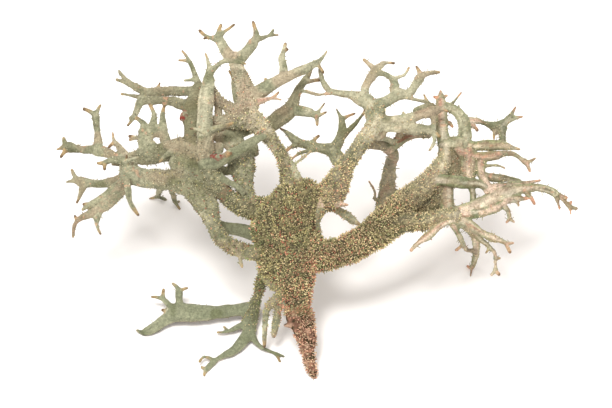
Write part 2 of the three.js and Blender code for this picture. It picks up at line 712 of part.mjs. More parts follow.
// Centre frond: the broad lobe that bends down behind the right frond to the floor
function centreFloorLobe() {
  return [
    lobe([
      [9.2, 42.4, 0.8, 1],
      [12.3, 42.3, -1.4, 0.85],
      [14.4, 41.8, -3, 0.9],
      [15.5, 40.2, -5.6, 0.95],
      atHeight(15.4, 38.4, 13.6, 1.1),
      atHeight(15.1, 36.4, 9, 1.35),
      atHeight(14.7, 34.4, 5.4, 1.55),
      atHeight(14.2, 32.4, 2.5, 1.3),
      atHeight(13.7, 31.2, 1, 1.2),
      atHeight(13.4, 30.2, 0.2, 0.9),
    ]),
    lobe([atHeight(15, 34, 5, 0.9), atHeight(16.8, 33.4, 3.6, 0.6), atHeight(18.2, 32.8, 2, 0.45)], [
      tipAtHeight(19.4, 32, 0.02),
      tipAtHeight(19.9, 33.4, 1.6),
    ]),
    lobe(
      [
        [14.8, 41.7, -3.6, 0.8], [16.8, 42.4, -3, 0.75], [18.5, 43.4, -2.6, 0.45],
        [20.6, 43.6, -2.6, 0.35],
      ],
      [[23, 43, -3]],
    ),
    lobe([[16.5, 42.4, -3, 0.6], [17.2, 44.4, -1, 0.6], [18, 46.2, 1.4, 0.6]]),
    lobe([atHeight(14.2, 31.9, 2, 0.6), atHeight(12.7, 32.2, 2.8, 0.35), atHeight(12.4, 33.2, 4.4, 0.27)], [
      tipAtHeight(11.2, 35.5, 7),
    ]),
  ];
}

// Right frond: its limb and the net of lobes over it
function rightFrond() {
  return [
    limb(
      [
        [-1.6, 22, 0, 3], [3, 22.2, 0.6, 2.9], [6, 22.9, 1.2, 2.8], [9, 24.2, 1.8, 2.9],
        [12, 26, 2.4, 3.1], [15, 28.3, 2.8, 3.2], [17.2, 30.2, 2.6, 3],
      ],
      { warts: 64 },
    ),
    limb(
      [
        [15, 28.2, 3, 2.2], [18.6, 27.9, 3.8, 1.6], [22, 28, 4.2, 1.4], [24.5, 28.8, 4.4, 1.5],
        [27, 29.3, 4.2, 1.5],
      ],
      { warts: 16 },
    ),
    limb(
      [
        [16, 30.8, 2.4, 2.6], [19.3, 33.9, 2, 2.2], [21.8, 35.7, 1.4, 2], [23.7, 37.6, 0.6, 1.7],
        [24.9, 39.8, -0.2, 1.5], [25.4, 42.2, -0.8, 1.3],
      ],
      { warts: 16 },
    ),
    limb([[17.4, 30.8, 1.2, 1.8], [21, 31.8, 0, 2.2], [24.2, 32.4, -0.4, 1.9]], { warts: 16 }),
    lobe(
      [
        [21, 36, 1.2, 1.2], [25, 35.8, 1.6, 0.85], [28.5, 35.5, 1.8, 0.75], [31, 35.1, 1.8, 0.75],
        [32.4, 34.4, 2, 0.7],
      ],
    ),
    lobe([[25.5, 36.2, 1, 1], [25.5, 33.5, 0, 1.1], [25.2, 31.2, 0.8, 1.2], [24.8, 29.2, 2.6, 1.2]]),
    lobe([[29.8, 35.3, 1.6, 0.5], [30.1, 32.9, 1.4, 0.45], [29.9, 30.8, 2.2, 0.6]]),
    lobe([[31.9, 40, 1, 0.7], [31.8, 37, 1.4, 0.62], [32.7, 35.2, 1.9, 0.65], [33.6, 33.4, 2.2, 0.8]]),
    lobe([[31.9, 36.3, 1.2, 0.7], [34.5, 35.9, 1.2, 0.8], [37, 35.7, 1.2, 0.5]]),
    lobe([[31.6, 38.2, 1.2, 0.4], [34, 38.5, 1.6, 0.25]], [[35.9, 37.9, 1.8]]),
    lobe([[28.2, 40.9, 0.8, 0.9], [28.2, 38.5, 1, 0.8], [27.6, 36, 1.4, 0.8]]),
    lobe([[30.4, 40.6, 0.8, 0.8], [30.4, 38.3, 0.9, 0.8], [30.2, 35.6, 1.4, 0.8]]),
    lobe(
      [
        [25.3, 42, -0.4, 1.3], [28, 42.3, 0, 1.25], [30.5, 41.9, 0.4, 0.95], [33, 41.9, 0.6, 0.95],
        [35.6, 41.9, 0.6, 0.85], [37, 41.6, 0.6, 0.5],
      ],
      [[38.6, 41.2, 0.6]],
    ),
    lobe(
      [
        [27.4, 41.2, 0.6, 0.9], [30.5, 40.2, 1.4, 0.75], [33, 40.1, 1.6, 0.62], [35.5, 40.3, 1.8, 0.45],
        [37.4, 40.2, 1.8, 0.36], [38.5, 39.3, 1.8, 0.45], [39.5, 38.6, 1.8, 0.5],
      ],
      [[41.4, 39.8, 1.8], [40.4, 37, 2]],
    ),
  ];
}

// Right frond: the lobes that stand up from it
function rightCrest() {
  return [
    lobe(
      [
        [28.4, 42, 0, 1.3], [28.7, 44.2, -0.4, 1.1], [28.3, 46.2, -0.8, 1.1], [27.3, 47.9, -1.2, 0.85],
        [25.9, 49.1, -1.4, 0.75], [24.4, 49.2, -1.3, 0.7],
      ],
    ),
    lobe(
      [
        [28.5, 46.2, -0.8, 0.8], [30.4, 46.6, -1.6, 0.6], [32, 46.2, -2.6, 0.45],
        [33.2, 45.5, -3.2, 0.8], [34.7, 45.3, -3.6, 1.15], [35.8, 46.1, -3.8, 0.75],
      ],
      [[38.2, 48.9, -4.2], [39.2, 47.2, -4]],
    ),
    lobe([[35.1, 45.2, -3.5, 0.9], [35.5, 43.8, -2.4, 0.55], [35.2, 42.2, -0.2, 0.5]]),
    lobe(
      [[25, 42, -0.8, 1.1], [24.8, 44.6, -1, 0.8], [24.6, 47, -1.2, 0.7], [24.3, 49.6, -1.3, 0.75]],
      [[24.2, 51.7, -1.4], [25.4, 50.7, -1.4]],
    ),
    lobe([[26, 49.1, -1.4, 0.6], [26.9, 50.1, -1.6, 0.35]], [[28.4, 51.8, -1.8]]),
  ];
}

// Right frond: the broad pink-backed lobe and its forked end
function rightArm() {
  return [
    lobe(
      [
        [26, 29.4, 3.8, 1.5], [29.3, 30.4, 3.2, 1.3], [32.3, 31.7, 2.8, 1.8], [35.3, 33.1, 2.4, 1.5],
        [38, 33.9, 2.2, 1.1], [41, 34.3, 2, 0.65], [43.5, 34, 1.8, 0.6], [45.2, 33, 1.6, 0.55],
      ],
    ),
    lobe(
      [[27.6, 29.8, 3.4, 1.2], [31, 30.1, 3.4, 0.9], [33.8, 30.4, 3.2, 0.8], [35.6, 31.2, 2.8, 0.7]],
    ),
    lobe([[31.2, 33.4, 2.2, 1], [33.4, 34.2, 2.2, 0.9], [36.4, 34.6, 2, 0.7], [39, 34.8, 1.9, 0.5]]),
    lobe(
      [[35.2, 31.2, 2.8, 0.5], [36.4, 30.2, 3, 0.38], [36.7, 29, 3, 0.34]],
      [[36.2, 28, 3], [37.5, 28.1, 3]],
    ),
    lobe([[35.8, 32.4, 2.5, 0.7], [38, 31.9, 2.4, 0.4]], [[38.3, 30.8, 2.4], [39.8, 32, 2.2]]),
    lobe([[39.8, 33.8, 2.2, 0.45], [40.4, 32.7, 2.2, 0.35]], [[41.3, 31.5, 2.2]]),
    lobe([[36.8, 35, 1.7, 0.4], [39.5, 35.4, 1.6, 0.3]], [[42.4, 35.7, 1.6]]),
    lobe([[44.6, 33.6, 1.7, 0.5], [45.7, 33.1, 1.6, 0.3]], [[47.2, 32.5, 1.6]]),
    lobe([[45, 33.2, 1.6, 0.5], [45.4, 31.9, 1.6, 0.38]], [[45.7, 30.4, 1.6]]),
    lobe(
      [[45, 33.2, 1.6, 0.45], [46.5, 31.9, 1.4, 0.34], [47.3, 31, 1.4, 0.42]],
      [[49, 30.4, 1.4], [47.9, 29.4, 1.6], [48.2, 32, 1.2]],
    ),
  ];
}

// Right frond: the lobes that hang from it
function rightHangingLobes() {
  return [
    lobe(
      [
        [26, 28.9, 3.8, 1.3],
        [28.2, 28, 2.6, 1.15],
        [29.6, 26.4, 0.8, 1],
        atHeight(30.3, 24.8, 10.4, 0.85),
        atHeight(30.5, 23, 6.6, 0.8),
        atHeight(30.2, 21.3, 3, 0.7),
        atHeight(29.8, 19.8, 0.9, 0.5),
      ],
      [tipAtHeight(29.7, 18.3, 0.02), tipAtHeight(29.1, 20, 0.02)],
    ),
    lobe([atHeight(30.2, 22.8, 6.4, 0.5), atHeight(29, 23, 7, 0.4)], [tipAtHeight(28.6, 24.2, 8)]),
    lobe(
      [[26.2, 28.2, 3.4, 0.8], [26.6, 26.8, 2.4, 0.5], [27.2, 25.6, 1.4, 0.55], [27.8, 24.5, 0.6, 0.5]],
      [[27, 22.8, -0.6], [28.6, 23, -0.4]],
    ),
    lobe(
      [
        [26.8, 28.8, 4.4, 1], [25, 28, 4.9, 0.58], [23.4, 26.9, 5, 0.52], [22, 25.7, 5, 0.6],
        [20.8, 24.8, 4.8, 0.45],
      ],
      [[18.9, 22.9, 4.4]],
    ),
    lobe(
      [[28.6, 28.2, 2.6, 1], [31.9, 26.3, 2.2, 0.7], [34, 25.3, 2, 0.65], [35.6, 24.6, 1.8, 0.45]],
      [[37.6, 24.3, 1.6], [37, 22.6, 1.6]],
    ),
    lobe(
      [
        [29.4, 26.9, 1, 0.8], [31.5, 24.9, 0.4, 0.55], [33, 23.7, 0.2, 0.48], [34, 22.4, 0, 0.4],
        [34.1, 20.8, -0.2, 0.32], [34.1, 19.6, -0.4, 0.38],
      ],
      [[33.4, 18.5, -0.6], [34.7, 18.6, -0.4]],
    ),
  ];
}

// Lying frond: stations hold heights over the floor.
function lyingFrond() {
  return [
    lyingLobe(
      [
        [-6.6, 20.6, 12.6, 1], [-8, 17.8, 9.6, 0.9], [-8.3, 15.5, 6.6, 0.9], [-8.9, 13.6, 4, 1],
        [-9.6, 11.8, 2.2, 1.3], [-10.2, 9.8, 1.3, 1.5], [-10.2, 8, 0.9, 1.3],
      ],
    ),
    lyingLobe(
      [
        [-9.6, 12, 1.9, 1.4], [-12, 12.1, 1.6, 1.4], [-15, 11.8, 1.5, 1.5], [-18, 11.6, 1.5, 1.8],
        [-20.5, 11.6, 1.5, 2.2], [-22.5, 11.7, 1.5, 2.2], [-24.4, 11.6, 1.4, 2.3],
      ],
    ),
    lyingLobe(
      [
        [-23.8, 11.4, 1.3, 1.6], [-26.2, 9.9, 0.9, 1.2], [-27.8, 8.8, 0.5, 1.1],
        [-29.2, 8.1, 0.3, 0.75],
      ],
      [[-30.5, 8.5, 0.4]],
    ),
    lyingLobe(
      [[-24.4, 12.6, 1.6, 0.8], [-25.6, 13.8, 2.2, 0.5]],
      [[-25.8, 15.8, 3.2], [-27.9, 14.5, 2.4]],
    ),
    lyingLobe(
      [[-22.9, 12.4, 1.7, 0.9], [-22.9, 14.4, 2.6, 0.72], [-22.9, 15.7, 3.4, 0.65]],
      [[-24.2, 17, 4], [-21.4, 16.1, 4]],
    ),
    lyingLobe(
      [[-10.1, 8.2, 1, 1], [-8.9, 6.2, 0.7, 0.5], [-7.4, 5.1, 0.5, 0.42], [-6, 4.6, 0.3, 0.36]],
      [[-4, 3.8, 0.15], [-4.7, 2.9, 0.1]],
    ),
    lyingLobe(
      [[-10.3, 8.6, 1, 1.2], [-12.8, 5.6, 0.6, 1], [-15, 4.2, 0.5, 0.66], [-16, 3.5, 0.5, 0.45]],
      [[-17.9, 3.7, 0.9]],
    ),
    lyingLobe([[-17.2, 3.6, 0.7, 0.3], [-18.3, 3.8, 1, 0.28]], [[-19.2, 2.9, 1]]),
    lyingLobe(
      [[-15.8, 3.5, 0.5, 0.5], [-17.2, 2.3, 0.3, 0.6], [-17.9, 1.5, 0.25, 0.5]],
      [[-18.3, 0.4, 0.15], [-18.9, 2, 0.4]],
    ),
    lyingLobe(
      [[-10.8, 9.9, 1.2, 0.7], [-12.8, 8.8, 0.9, 0.5], [-14, 8.3, 0.8, 0.32]],
      [[-16, 8.1, 0.7], [-14.8, 9.1, 0.9]],
    ),
  ];
}

// Colours and pieces, in the order in which they are cut to fit
const BARK_BROWN = "#8a6f50";
const WARTY_OLIVE = "#7d7a55";
const GREY_GREEN = "#9c9c80";
const PALE_GREEN = "#aaa98c";
const FRONDS = [
  ["trunk", WARTY_OLIVE, trunk()],
  ["holdfast", BARK_BROWN, holdfast()],
  ["frond_right", PALE_GREEN, [...rightFrond(), ...rightCrest(), ...rightArm(), ...rightHangingLobes()]],
  ["frond_centre", GREY_GREEN, [...centreFrond(), ...centreHindLobe(), ...centreFloorLobe()]],
  ["frond_top", GREY_GREEN, topFrond()],
  [
    "frond_left",
    GREY_GREEN,
    [...lowerLeftLimb(), ...upperLeftLimb(), ...leftPillars(), ...leftAntlers(), ...leftHindLobes()],
  ],
  ["frond_lying", GREY_GREEN, lyingFrond()],
];

// Each node is cut clear of the ones before it in the list.
function clump() {
  const group = new THREE.Group();
  const random = seededRandom(WART_SEED);
  const floor = belowFloor();
  const taken = [];
  for (const [name, colour, branches] of FRONDS) {
    const others = FRONDS.filter(([otherName]) => otherName !== name);
    const otherSpines = others.flatMap(([, , otherBranches]) => otherBranches.map(spineOf));
    const warty = wasm.Manifold.union([frondSolid(branches), ...wartSolids(branches, otherSpines, random)]);
    const cut = wasm.Manifold.difference([warty, floor, ...taken]);
    taken.push(frondSolid(branches, JOINT_GAP));
    group.add(meshOf(name, mainBody(cut), new THREE.MeshStandardMaterial({ color: colour, roughness: 0.95 })));
  }
  return group;
}

export default clump();
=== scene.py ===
"""A clump of grey-green lichen: fronds with brown tips, a carpet of warts and a brown holdfast."""
import math
from types import SimpleNamespace

import bpy
import numpy as np
from mathutils import Matrix, Vector
from mathutils.kdtree import KDTree


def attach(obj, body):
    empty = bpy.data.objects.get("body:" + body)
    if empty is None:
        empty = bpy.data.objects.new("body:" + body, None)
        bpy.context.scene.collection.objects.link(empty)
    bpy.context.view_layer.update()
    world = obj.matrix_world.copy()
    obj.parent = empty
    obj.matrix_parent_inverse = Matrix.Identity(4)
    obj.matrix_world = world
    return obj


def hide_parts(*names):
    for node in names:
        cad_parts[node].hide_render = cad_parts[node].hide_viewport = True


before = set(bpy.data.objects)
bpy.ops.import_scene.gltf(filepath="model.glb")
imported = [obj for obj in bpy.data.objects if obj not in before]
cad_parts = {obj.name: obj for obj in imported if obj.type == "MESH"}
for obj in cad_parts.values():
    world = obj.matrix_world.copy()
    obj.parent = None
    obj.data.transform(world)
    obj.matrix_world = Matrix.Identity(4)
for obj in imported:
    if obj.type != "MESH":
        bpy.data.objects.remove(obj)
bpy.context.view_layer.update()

# Units: shapes are made in millimetres and scaled to metres at the end
MM = 0.001

# Frame of the branches: u runs to the right, v up the lean and w out of the upper face
LEAN = math.radians(50)
SIN_LEAN = math.sin(LEAN)
COS_LEAN = math.cos(LEAN)
FOOTPRINT_CENTRE = (1.85, 28.85)
SIDE_DROOP = 1 / 210
TOP_DROOP = 1 / 190
DROOP_START = 20
FAN_FACING = np.array([0, -COS_LEAN, SIN_LEAN])
FLOOR_FACING = np.array([0, 0, 1.0])

# Form of a lobe, with its thickness as a share of its width
FLATNESS = 0.42
THICK = 0.5
THICKEST = 0.6
ROUNDEST = 1.2
LEAST_HALF_THICKNESS = 0.26
EXTRA_HALF_THICKNESS = 0.1
TIP_HALF_WIDTH = 0.29
TIP_SPREAD = 0.05
LEAST_PRONG = 0.36
MOST_UNBROWNED = 1.4
PRONG_SHARE = 0.95
SIDES = 12
STEP = 0.45
PRONG_STEP = 0.3
WAVER = 0.09
VOXEL = 0.2


# Colours, linear

def tone(red, green, blue):
    """A linear colour from the usual 0 to 255 values."""
    return np.array([((c / 255 + 0.055) / 1.055) ** 2.4 for c in (red, green, blue)])


GREY_GREEN = tone(124, 125, 99)
PALE_GREEN = tone(172, 168, 140)
PALE_BEIGE = tone(200, 190, 162)
DEEP_GREEN = tone(92, 96, 62)
BLUE_GREEN = tone(116, 120, 94)
WARTY_GREEN = tone(130, 118, 80)
# A dark brown: painted shade between the warts, and dark patches in the holdfast's bark.
GAP_SHADE_BROWN = tone(56, 46, 28)
TIP_BROWN = tone(92, 70, 50)
TIP_TAN = tone(172, 140, 96)
TIP_ORANGE = tone(204, 146, 118)
WARM_GREY = tone(160, 142, 118)
PINK_BACK = tone(212, 180, 160)
BROWN_BACK = tone(96, 76, 54)
FRESH_GREEN = tone(106, 116, 76)
MARBLE_GREEN = tone(84, 90, 62)
MARBLE_WHITE = tone(220, 210, 186)
RED_VEIN = tone(150, 84, 66)
RUST = tone(118, 50, 40)
BARK = tone(106, 76, 60)
BARK_PALE = tone(204, 172, 146)
PEG_OLIVE = tone(154, 147, 92)
PEG_YELLOW = tone(188, 176, 116)
PEG_TAN = tone(216, 194, 152)
PEG_DARK = tone(84, 74, 44)
PEG_GREY = tone(178, 172, 144)
PEG_PINK = tone(200, 146, 118)
PEG_GREEN = tone(132, 138, 92)
PEG_RED = tone(172, 96, 76)


# Places

def droop(u, v):
    """How far the fan hangs below its plane towards its edges."""
    return SIDE_DROOP * u ** 2 + TOP_DROOP * max(0, v - DROOP_START) ** 2


def leaning_point(u, v, w):
    """Point in millimetres from a place on the leaning plane."""
    out = w - droop(u, v)
    return np.array([
        u - FOOTPRINT_CENTRE[0],
        v * SIN_LEAN - out * COS_LEAN - FOOTPRINT_CENTRE[1],
        v * COS_LEAN + out * SIN_LEAN,
    ])


def out_for(u, v, height):
    """The w of a place at a height over the floor."""
    return (height - v * COS_LEAN) / SIN_LEAN + droop(u, v)


def lying_point(u, v, height):
    return leaning_point(u, v, out_for(u, v, height))


# Branches: a station is a row "u v w half_width" and a tip a row "u v w", in millimetres

def rows_of(text):
    """Numbers of a text of rows. A w with an h before it is a height over the floor."""
    rows = []
    for row in text.split(",") if text else []:
        u, v, out, *width = row.split()
        u, v = float(u), float(v)
        w = out_for(u, v, float(out[1:])) if out[0] == "h" else float(out)
        rows.append([u, v, w, *map(float, width)])
    return rows


def lobe(stations, tips="", flatness=FLATNESS, **tones):
    """A flat lobe with a prong to each tip. A tone is one value, or two: for its start and its end."""
    return dict(stations=rows_of(stations), tips=rows_of(tips), flatness=flatness, tones=tones,
                facing=FAN_FACING, point=leaning_point)


def lying_lobe(stations, tips="", **tones):
    """A lobe along the floor, with heights for w."""
    return lobe(stations, tips, **tones) | dict(facing=FLOOR_FACING, point=lying_point)


def limb(stations, flatness=THICK, warty=0.1, **tones):
    """A thick branch without prongs."""
    return lobe(stations, "", flatness, warty=warty, **tones)


def toned(branches, **tones):
    """The same branches with added tones, which don't replace their own."""
    return [branch | dict(tones=tones | branch["tones"]) for branch in branches]


# Holdfast: the brown spike by which the clump held to its bark
HOLDFAST = [
    limb("-1.6 12.4 0 2.4, -1.2 11.2 0.1 2.4, -0.6 9.6 0.2 2.3, -0.2 8 0.3 1.9, 0.2 6.2 0.3 1.55, "
         "0.4 4.4 0.3 1.2, 0.8 2.5 0.3 1, 1.2 1 0.3 0.75, 1.5 0 0.1 0.22",
         flatness=THICKEST, warty=(1, 0.75)),
    lobe("-1.4 9.7 0.3 1, -2.4 9.5 0.4 0.85", "-3.8 9.5 0.5"),
]

# Trunk, with the small lobes that hang from it and stand behind it
TRUNK = [
    limb("-1.7 12.9 0 2.6, -2 15 0 3.2, -2.3 17 0 3.9, -3 19 0 5, -3.1 21.5 0 5.7, -3.2 25 0 5.9, "
         "-3.7 27.6 0 6.05, -2.3 30.1 0 5.2, -0.1 32.1 0 4.4, 0.9 33.6 0.2 3.2", warty=1),
    lobe("-4.4 14.8 -0.2 0.9, -6.2 13.5 -0.2 0.9, -7.2 11.8 -0.6 0.62, -7.45 8 -1.6 0.55",
         "-7.5 5.6 -2.2", warty=(0.5, 0)),
    lobe("-4.6 13.9 -0.4 0.8, -5.15 11.6 -0.8 0.7, -5.45 9.6 -1.4 0.8, -5.75 7.9 -1.8 0.68, "
         "-5.85 7.3 -2 0.5", warty=(0.5, 0)),
    lobe("2 31.7 -0.8 0.9, 5 30.6 -1.4 0.82, 7 29.4 -2 0.85, 8.6 28.3 -2.2 0.85", "9.9 27.5 -2", pink=0.2),
    lobe("4.2 31.7 0.4 0.8, 6.1 31.3 0.6 0.8", "7.5 31.2 0.8", pink=0.8),
]

# Left frond: the lower limb
LOWER_LEFT_LIMB = [
    limb("-5.5 22.6 0 1.9, -8.5 22.4 0.4 1.55, -12 23.1 1 1.4, -15 24.8 1.5 1.4, -16.8 28 2 1.45, "
         "-17.8 30.8 2.2 2.15", warty=(0.7, 0.3), dark=0, pale=0.35),
    limb("-16.9 28.6 2 1.5, -17.8 30.8 2.2 2.15, -20.1 33.8 2.4 2.2", warty=0.3, dark=(0, 1)),
    limb("-18.8 32.2 2.3 2.2, -20.1 33.8 2.4 2.2, -23 35.5 2.3 2.2, -26 35.7 2 1.75, -29 36 1.6 1.8, "
         "-31.9 36.6 1.2 1.8", warty=(0.3, 0), dark=(1, 0)),
    limb("-17.6 31 1.4 1.7, -18.2 33.4 1 2, -19 36 0.6 2.2, -19.8 38.6 0.4 2", warty=0.12, dark=0.9),
    lobe("-7.6 24.9 -1.2 1.1, -9.4 25.9 -1.8 1.4, -12.2 26.7 -2.4 1.25, -15 27.2 -1.6 1, "
         "-17.2 28.6 0.6 0.9", blue=1),
]

# Left frond: the upper limb and the lobes about its end
UPPER_LEFT_LIMB = [
    limb("-6 30.7 0 2.1, -9 30.5 0 2.05, -11.5 30.9 0.2 1.8, -13.4 31.8 0.4 1.6, -14.9 33.6 0.8 1.5, "
         "-16.8 36.2 1.2 1.9, -18 39 1.2 2, -18.2 42 1.4 1.6, -18.3 45 1.8 1.4",
         warty=(1, 0), dark=(0, 0.2)),
    lobe("-14.6 31.8 0.8 0.7, -15 33 1.4 0.8, -14.6 34.4 1.6 0.6", dark=0.8, rust=0.3),
    limb("-10.1 31.6 -0.5 1.2, -11 34 -1 1.5, -11.4 36.6 -1.2 2.1, -11.7 39 -1 2.55, -12.2 41 -0.9 2.2",
         warty=0.4, dark=0.05),
    lobe("-11.8 40.8 -1.2 1.6, -9.2 41.3 -1.6 1.4", dark=0.5),
    lobe("-13 44.5 -1.8 0.8, -11.4 44.3 -1.8 0.9, -9.9 44.4 -1.4 0.55", dark=0.6),
    lobe("-15.8 46.6 -0.8 0.9, -15.8 49.4 -0.9 0.85", dark=0.1, pale=0.3),
    lobe("-18 41.4 0 1, -15.3 41.4 -0.6 1.15", dark=0.1),
    lobe("-16.6 37.6 0 0.9, -14.4 37.2 -0.6 0.95, -12.8 37.4 -0.8 0.6", dark=0.5),
    lobe("-11.4 40 -1.6 1.6, -12.8 42 -2.2 2, -14.4 43.4 -2.2 1.9, -16.4 44.4 -1.6 1.6, -17.8 45 0.2 1",
         dark=0.15, pale=0.3),
    lobe("-18.6 38.3 2.2 1.3, -15.6 39 3 1.1, -13 40.5 3.3 1.05, -10.5 42 3.1 1, -8.7 43 3.1 0.8, "
         "-7.3 43.5 3.2 0.5", blue=0.8),
    lobe("-15.6 36.4 1.4 0.65, -14 35.3 2 0.62, -12.4 34.4 1.9 0.62, -11.2 33.3 0.8 0.65", blue=0.7),
    lobe("-16.9 39.5 2.6 0.8, -15.6 39.6 3.7 0.8", rust=1, flatness=0.9),
    lobe("-15.6 39.8 3.4 0.5, -14.6 40.1 3.9 0.42", "-13.5 40.4 4.2", rust=0.6),
    lobe("-18.2 40 2 0.7, -17.6 42.4 2.3 0.65, -16.6 44.4 2.4 0.7, -14.8 45.2 2.2 0.7"),
]

# Left frond: the tall lobes over its upper limb
LEFT_PILLARS = [
    lobe("-18.3 44 1.8 1.5, -18.2 48 2.2 1.5, -17.9 51 2.4 1.5, -17.6 53.6 2.6 1.15, -17.5 55.3 2.8 0.72",
         "-18.15 58.5 3.2", pale=0.35, dark=0),
    lobe("-17.5 54.8 2.8 0.8, -16.2 56.2 3.1 0.5, -14.9 57.1 3.2 0.5, -13.4 57.2 3.4 0.48, "
         "-12 56.9 3.5 0.42", "-10.9 56.6 3.6"),
    lobe("-18.8 40.2 0.8 1.6, -20.4 43 0.2 1.6, -20.7 45.5 -0.2 1.5, -20.7 48 -0.6 1.7, -20 50.4 -1 1.6, "
         "-19.3 53 -1.6 1", dark=(1.1, 0.9)),
    lobe("-21.4 47.7 0 0.7, -22.2 47.3 0.3 0.62, -22.4 46.7 0.4 0.5", rust=1, flatness=0.9),
    lobe("-19.4 51.7 -1.4 1, -23.5 51.8 -2 0.95, -27 51.7 -2.6 0.9, -29.3 51.6 -3 0.85", dark=(0.8, 0.4)),
    lobe("-20.6 49 -1.1 1.3, -22.3 49.3 -1.2 1.1, -24.2 49.9 -1.4 1, -27 50.2 -2 0.9, -29.6 50.1 -2.6 0.85",
         dark=(0.9, 0.5)),
    lobe("-29.1 51.6 -2.9 0.9, -31.2 52.7 -3.2 0.75", "-34 55.5 -3.6, -34.4 53.9 -3", dark=0.6, rust=0.1),
    lobe("-29.4 50.5 -2.8 0.6, -31.2 50.9 -2.8 0.4", "-33.5 51.3 -2.6", dark=0.6, rust=0.1),
    lobe("-29.6 50.4 -2.6 0.9, -30.3 49.4 -2.4 0.8, -30.9 47.7 -2.2 0.56", "-32.3 45.6 -2, -31.9 46.9 -2"),
    lobe("-19.4 52.8 -1.6 0.85, -20.2 55 -1.9 0.52, -20.9 56.8 -2 0.54", "-22.5 59.1 -2.4, -23.1 57.4 -2"),
    lobe("-18.2 44.2 3 0.7, -16.4 44.9 3.2 0.6, -14.8 45.3 3 0.55", "-13.3 45.9 2.8", yellow=0.4),
    lobe("-18.2 44.4 2.8 0.6, -19.2 44.7 3 0.48", "-20.8 44.9 3.2"),
]

# Left frond: the antlers at its far end
LEFT_ANTLERS = [
    limb("-19.4 40.6 0.6 1.9, -22.9 41.1 0.2 2.3, -26 40.6 -0.4 1.9, -29.3 40 -0.8 1.75, -31.8 39.7 -0.8 1",
         dark=0.4),
    limb("-22 36.4 1.6 2.1, -22.7 39.2 0.8 2.25", warty=0.08, dark=0.5),
    limb("-31.7 36.8 1.2 1.95, -32.4 38.6 0.2 1.6", dark=0.3),
    lobe("-23.2 41.6 1.4 0.7, -25 40.3 1.8 0.55", "-26.4 38.9 1.8"),
    lobe("-32.2 39.3 -0.4 0.95, -34.2 39.95 -1 0.75, -35.9 40.5 -1.6 0.95, -37.9 41.15 -2.4 1.35",
         dark=0.25),
    lobe("-37.7 41.2 -2.4 1.05, -41 41.25 -2.8 0.78, -43.1 41.6 -3 1.12",
         "-44.1 43.3 -3.4, -45.3 41.2 -3, -44.5 39.9 -2.6"),
    lobe("-37.7 41.4 -2.4 1.1, -37.9 44.2 -3.4 0.62, -38.2 47.1 -4 0.85",
         "-37.4 49.3 -4.6, -40.4 48.6 -4.2"),
    lobe("-32.6 40.2 -0.8 0.75, -33.8 41.6 -0.9 0.6, -34.6 42.6 -1 0.5",
         "-35 44.3 -1.2, -35.7 41.6 -0.6", pink=0.3),
    lobe("-32.4 39.2 1.2 0.85, -34.8 39.3 2.6 0.68, -36.1 38.9 3.3 0.56", "-37.6 38.7 3.8, -36.3 37.6 4"),
    lobe("-33 38.6 -0.4 0.6, -35 38.6 0 0.4", dark=1),
    lobe("-32.2 36.2 0.6 1.1, -36 35.15 -0.4 0.88, -39 35.05 -1 0.88, -41 35.5 -1.2 1",
         "-42.5 37.5 -1.6, -43.4 35.3 -1.2", dark=0.45),
    lobe("-40.2 35.2 -1.2 0.8, -40.6 33.8 -0.9 0.66", "-41.5 31.6 -0.4", dark=0.45),
    lobe("-32.6 36 1.4 0.8, -36.1 33.1 2.2 0.68, -38.6 31.45 2.6 0.58",
         "-40.4 30.3 3, -40.1 31.3 2.8", dark=0.45),
    lobe("-32.4 35.8 1.6 1.3, -34.5 32.7 2 1.25, -36.6 30.85 2.2 1, -38.5 29.7 2.2 0.88, "
         "-40.5 28.85 2 0.72, -41.4 28.2 1.8 0.5", "-42.1 25.4 1.4, -41.8 29.2 2", rust=0.25),
    lobe("-37.4 30.4 2.2 0.9, -37.8 28.3 2 0.62", "-37.1 25.9 1.8"),
    lobe("-32.4 37.6 1.8 0.95, -32.3 35 3.2 0.74, -31.85 32.4 3.6 0.62", "-30.2 29.3 3.6"),
    lobe("-27.6 40.8 -0.4 1.5, -28.9 42.2 -0.8 1.6, -29.1 43.8 -1.2 1.3, -29.2 45.2 -1.6 0.95",
         "-31.3 47.2 -2.2"),
    lobe("-27.7 45.1 -1.4 0.95, -27.5 47 -2 0.62", "-28.3 49.3 -2.2"),
    lobe("-25 41.4 -0.3 1.2, -25.75 44 -1 0.92, -25.95 46.4 -1.5 0.68, -25.95 47.6 -1.8 0.52",
         "-25.7 49 -2"),
    lobe("-28.4 44.3 -1.2 0.95, -25.8 44.2 -1.1 0.95"),
]

# Left frond: the lobes that bend back behind it to the floor
LEFT_HIND_LOBES = [
    lobe("-20.6 34.6 1.2 1.6, -22.4 35.2 -2.4 1.5, -24.2 35.8 h13.5 1.5, -25.4 35.2 h8 1.3"),
    lobe("-25.6 35.2 h8.4 1, -26.8 33.8 h4.4 0.66, -27 32.8 h1.4 0.55",
         "-28.6 32.3 h0.02, -25.6 32.1 h0.02"),
    lobe("-25 35.3 h8.4 0.9, -24.4 33.4 h4.4 0.58, -24 31.8 h1.2 0.5",
         "-23.1 30.4 h0.02, -23.2 31.8 h0.02"),
    lobe("-24 35.7 h14 1.1, -26.6 37 h12.4 0.8, -28.4 37.2 h11 0.6", "-31 37.2 h10, -29.6 36.2 h8.6"),
]

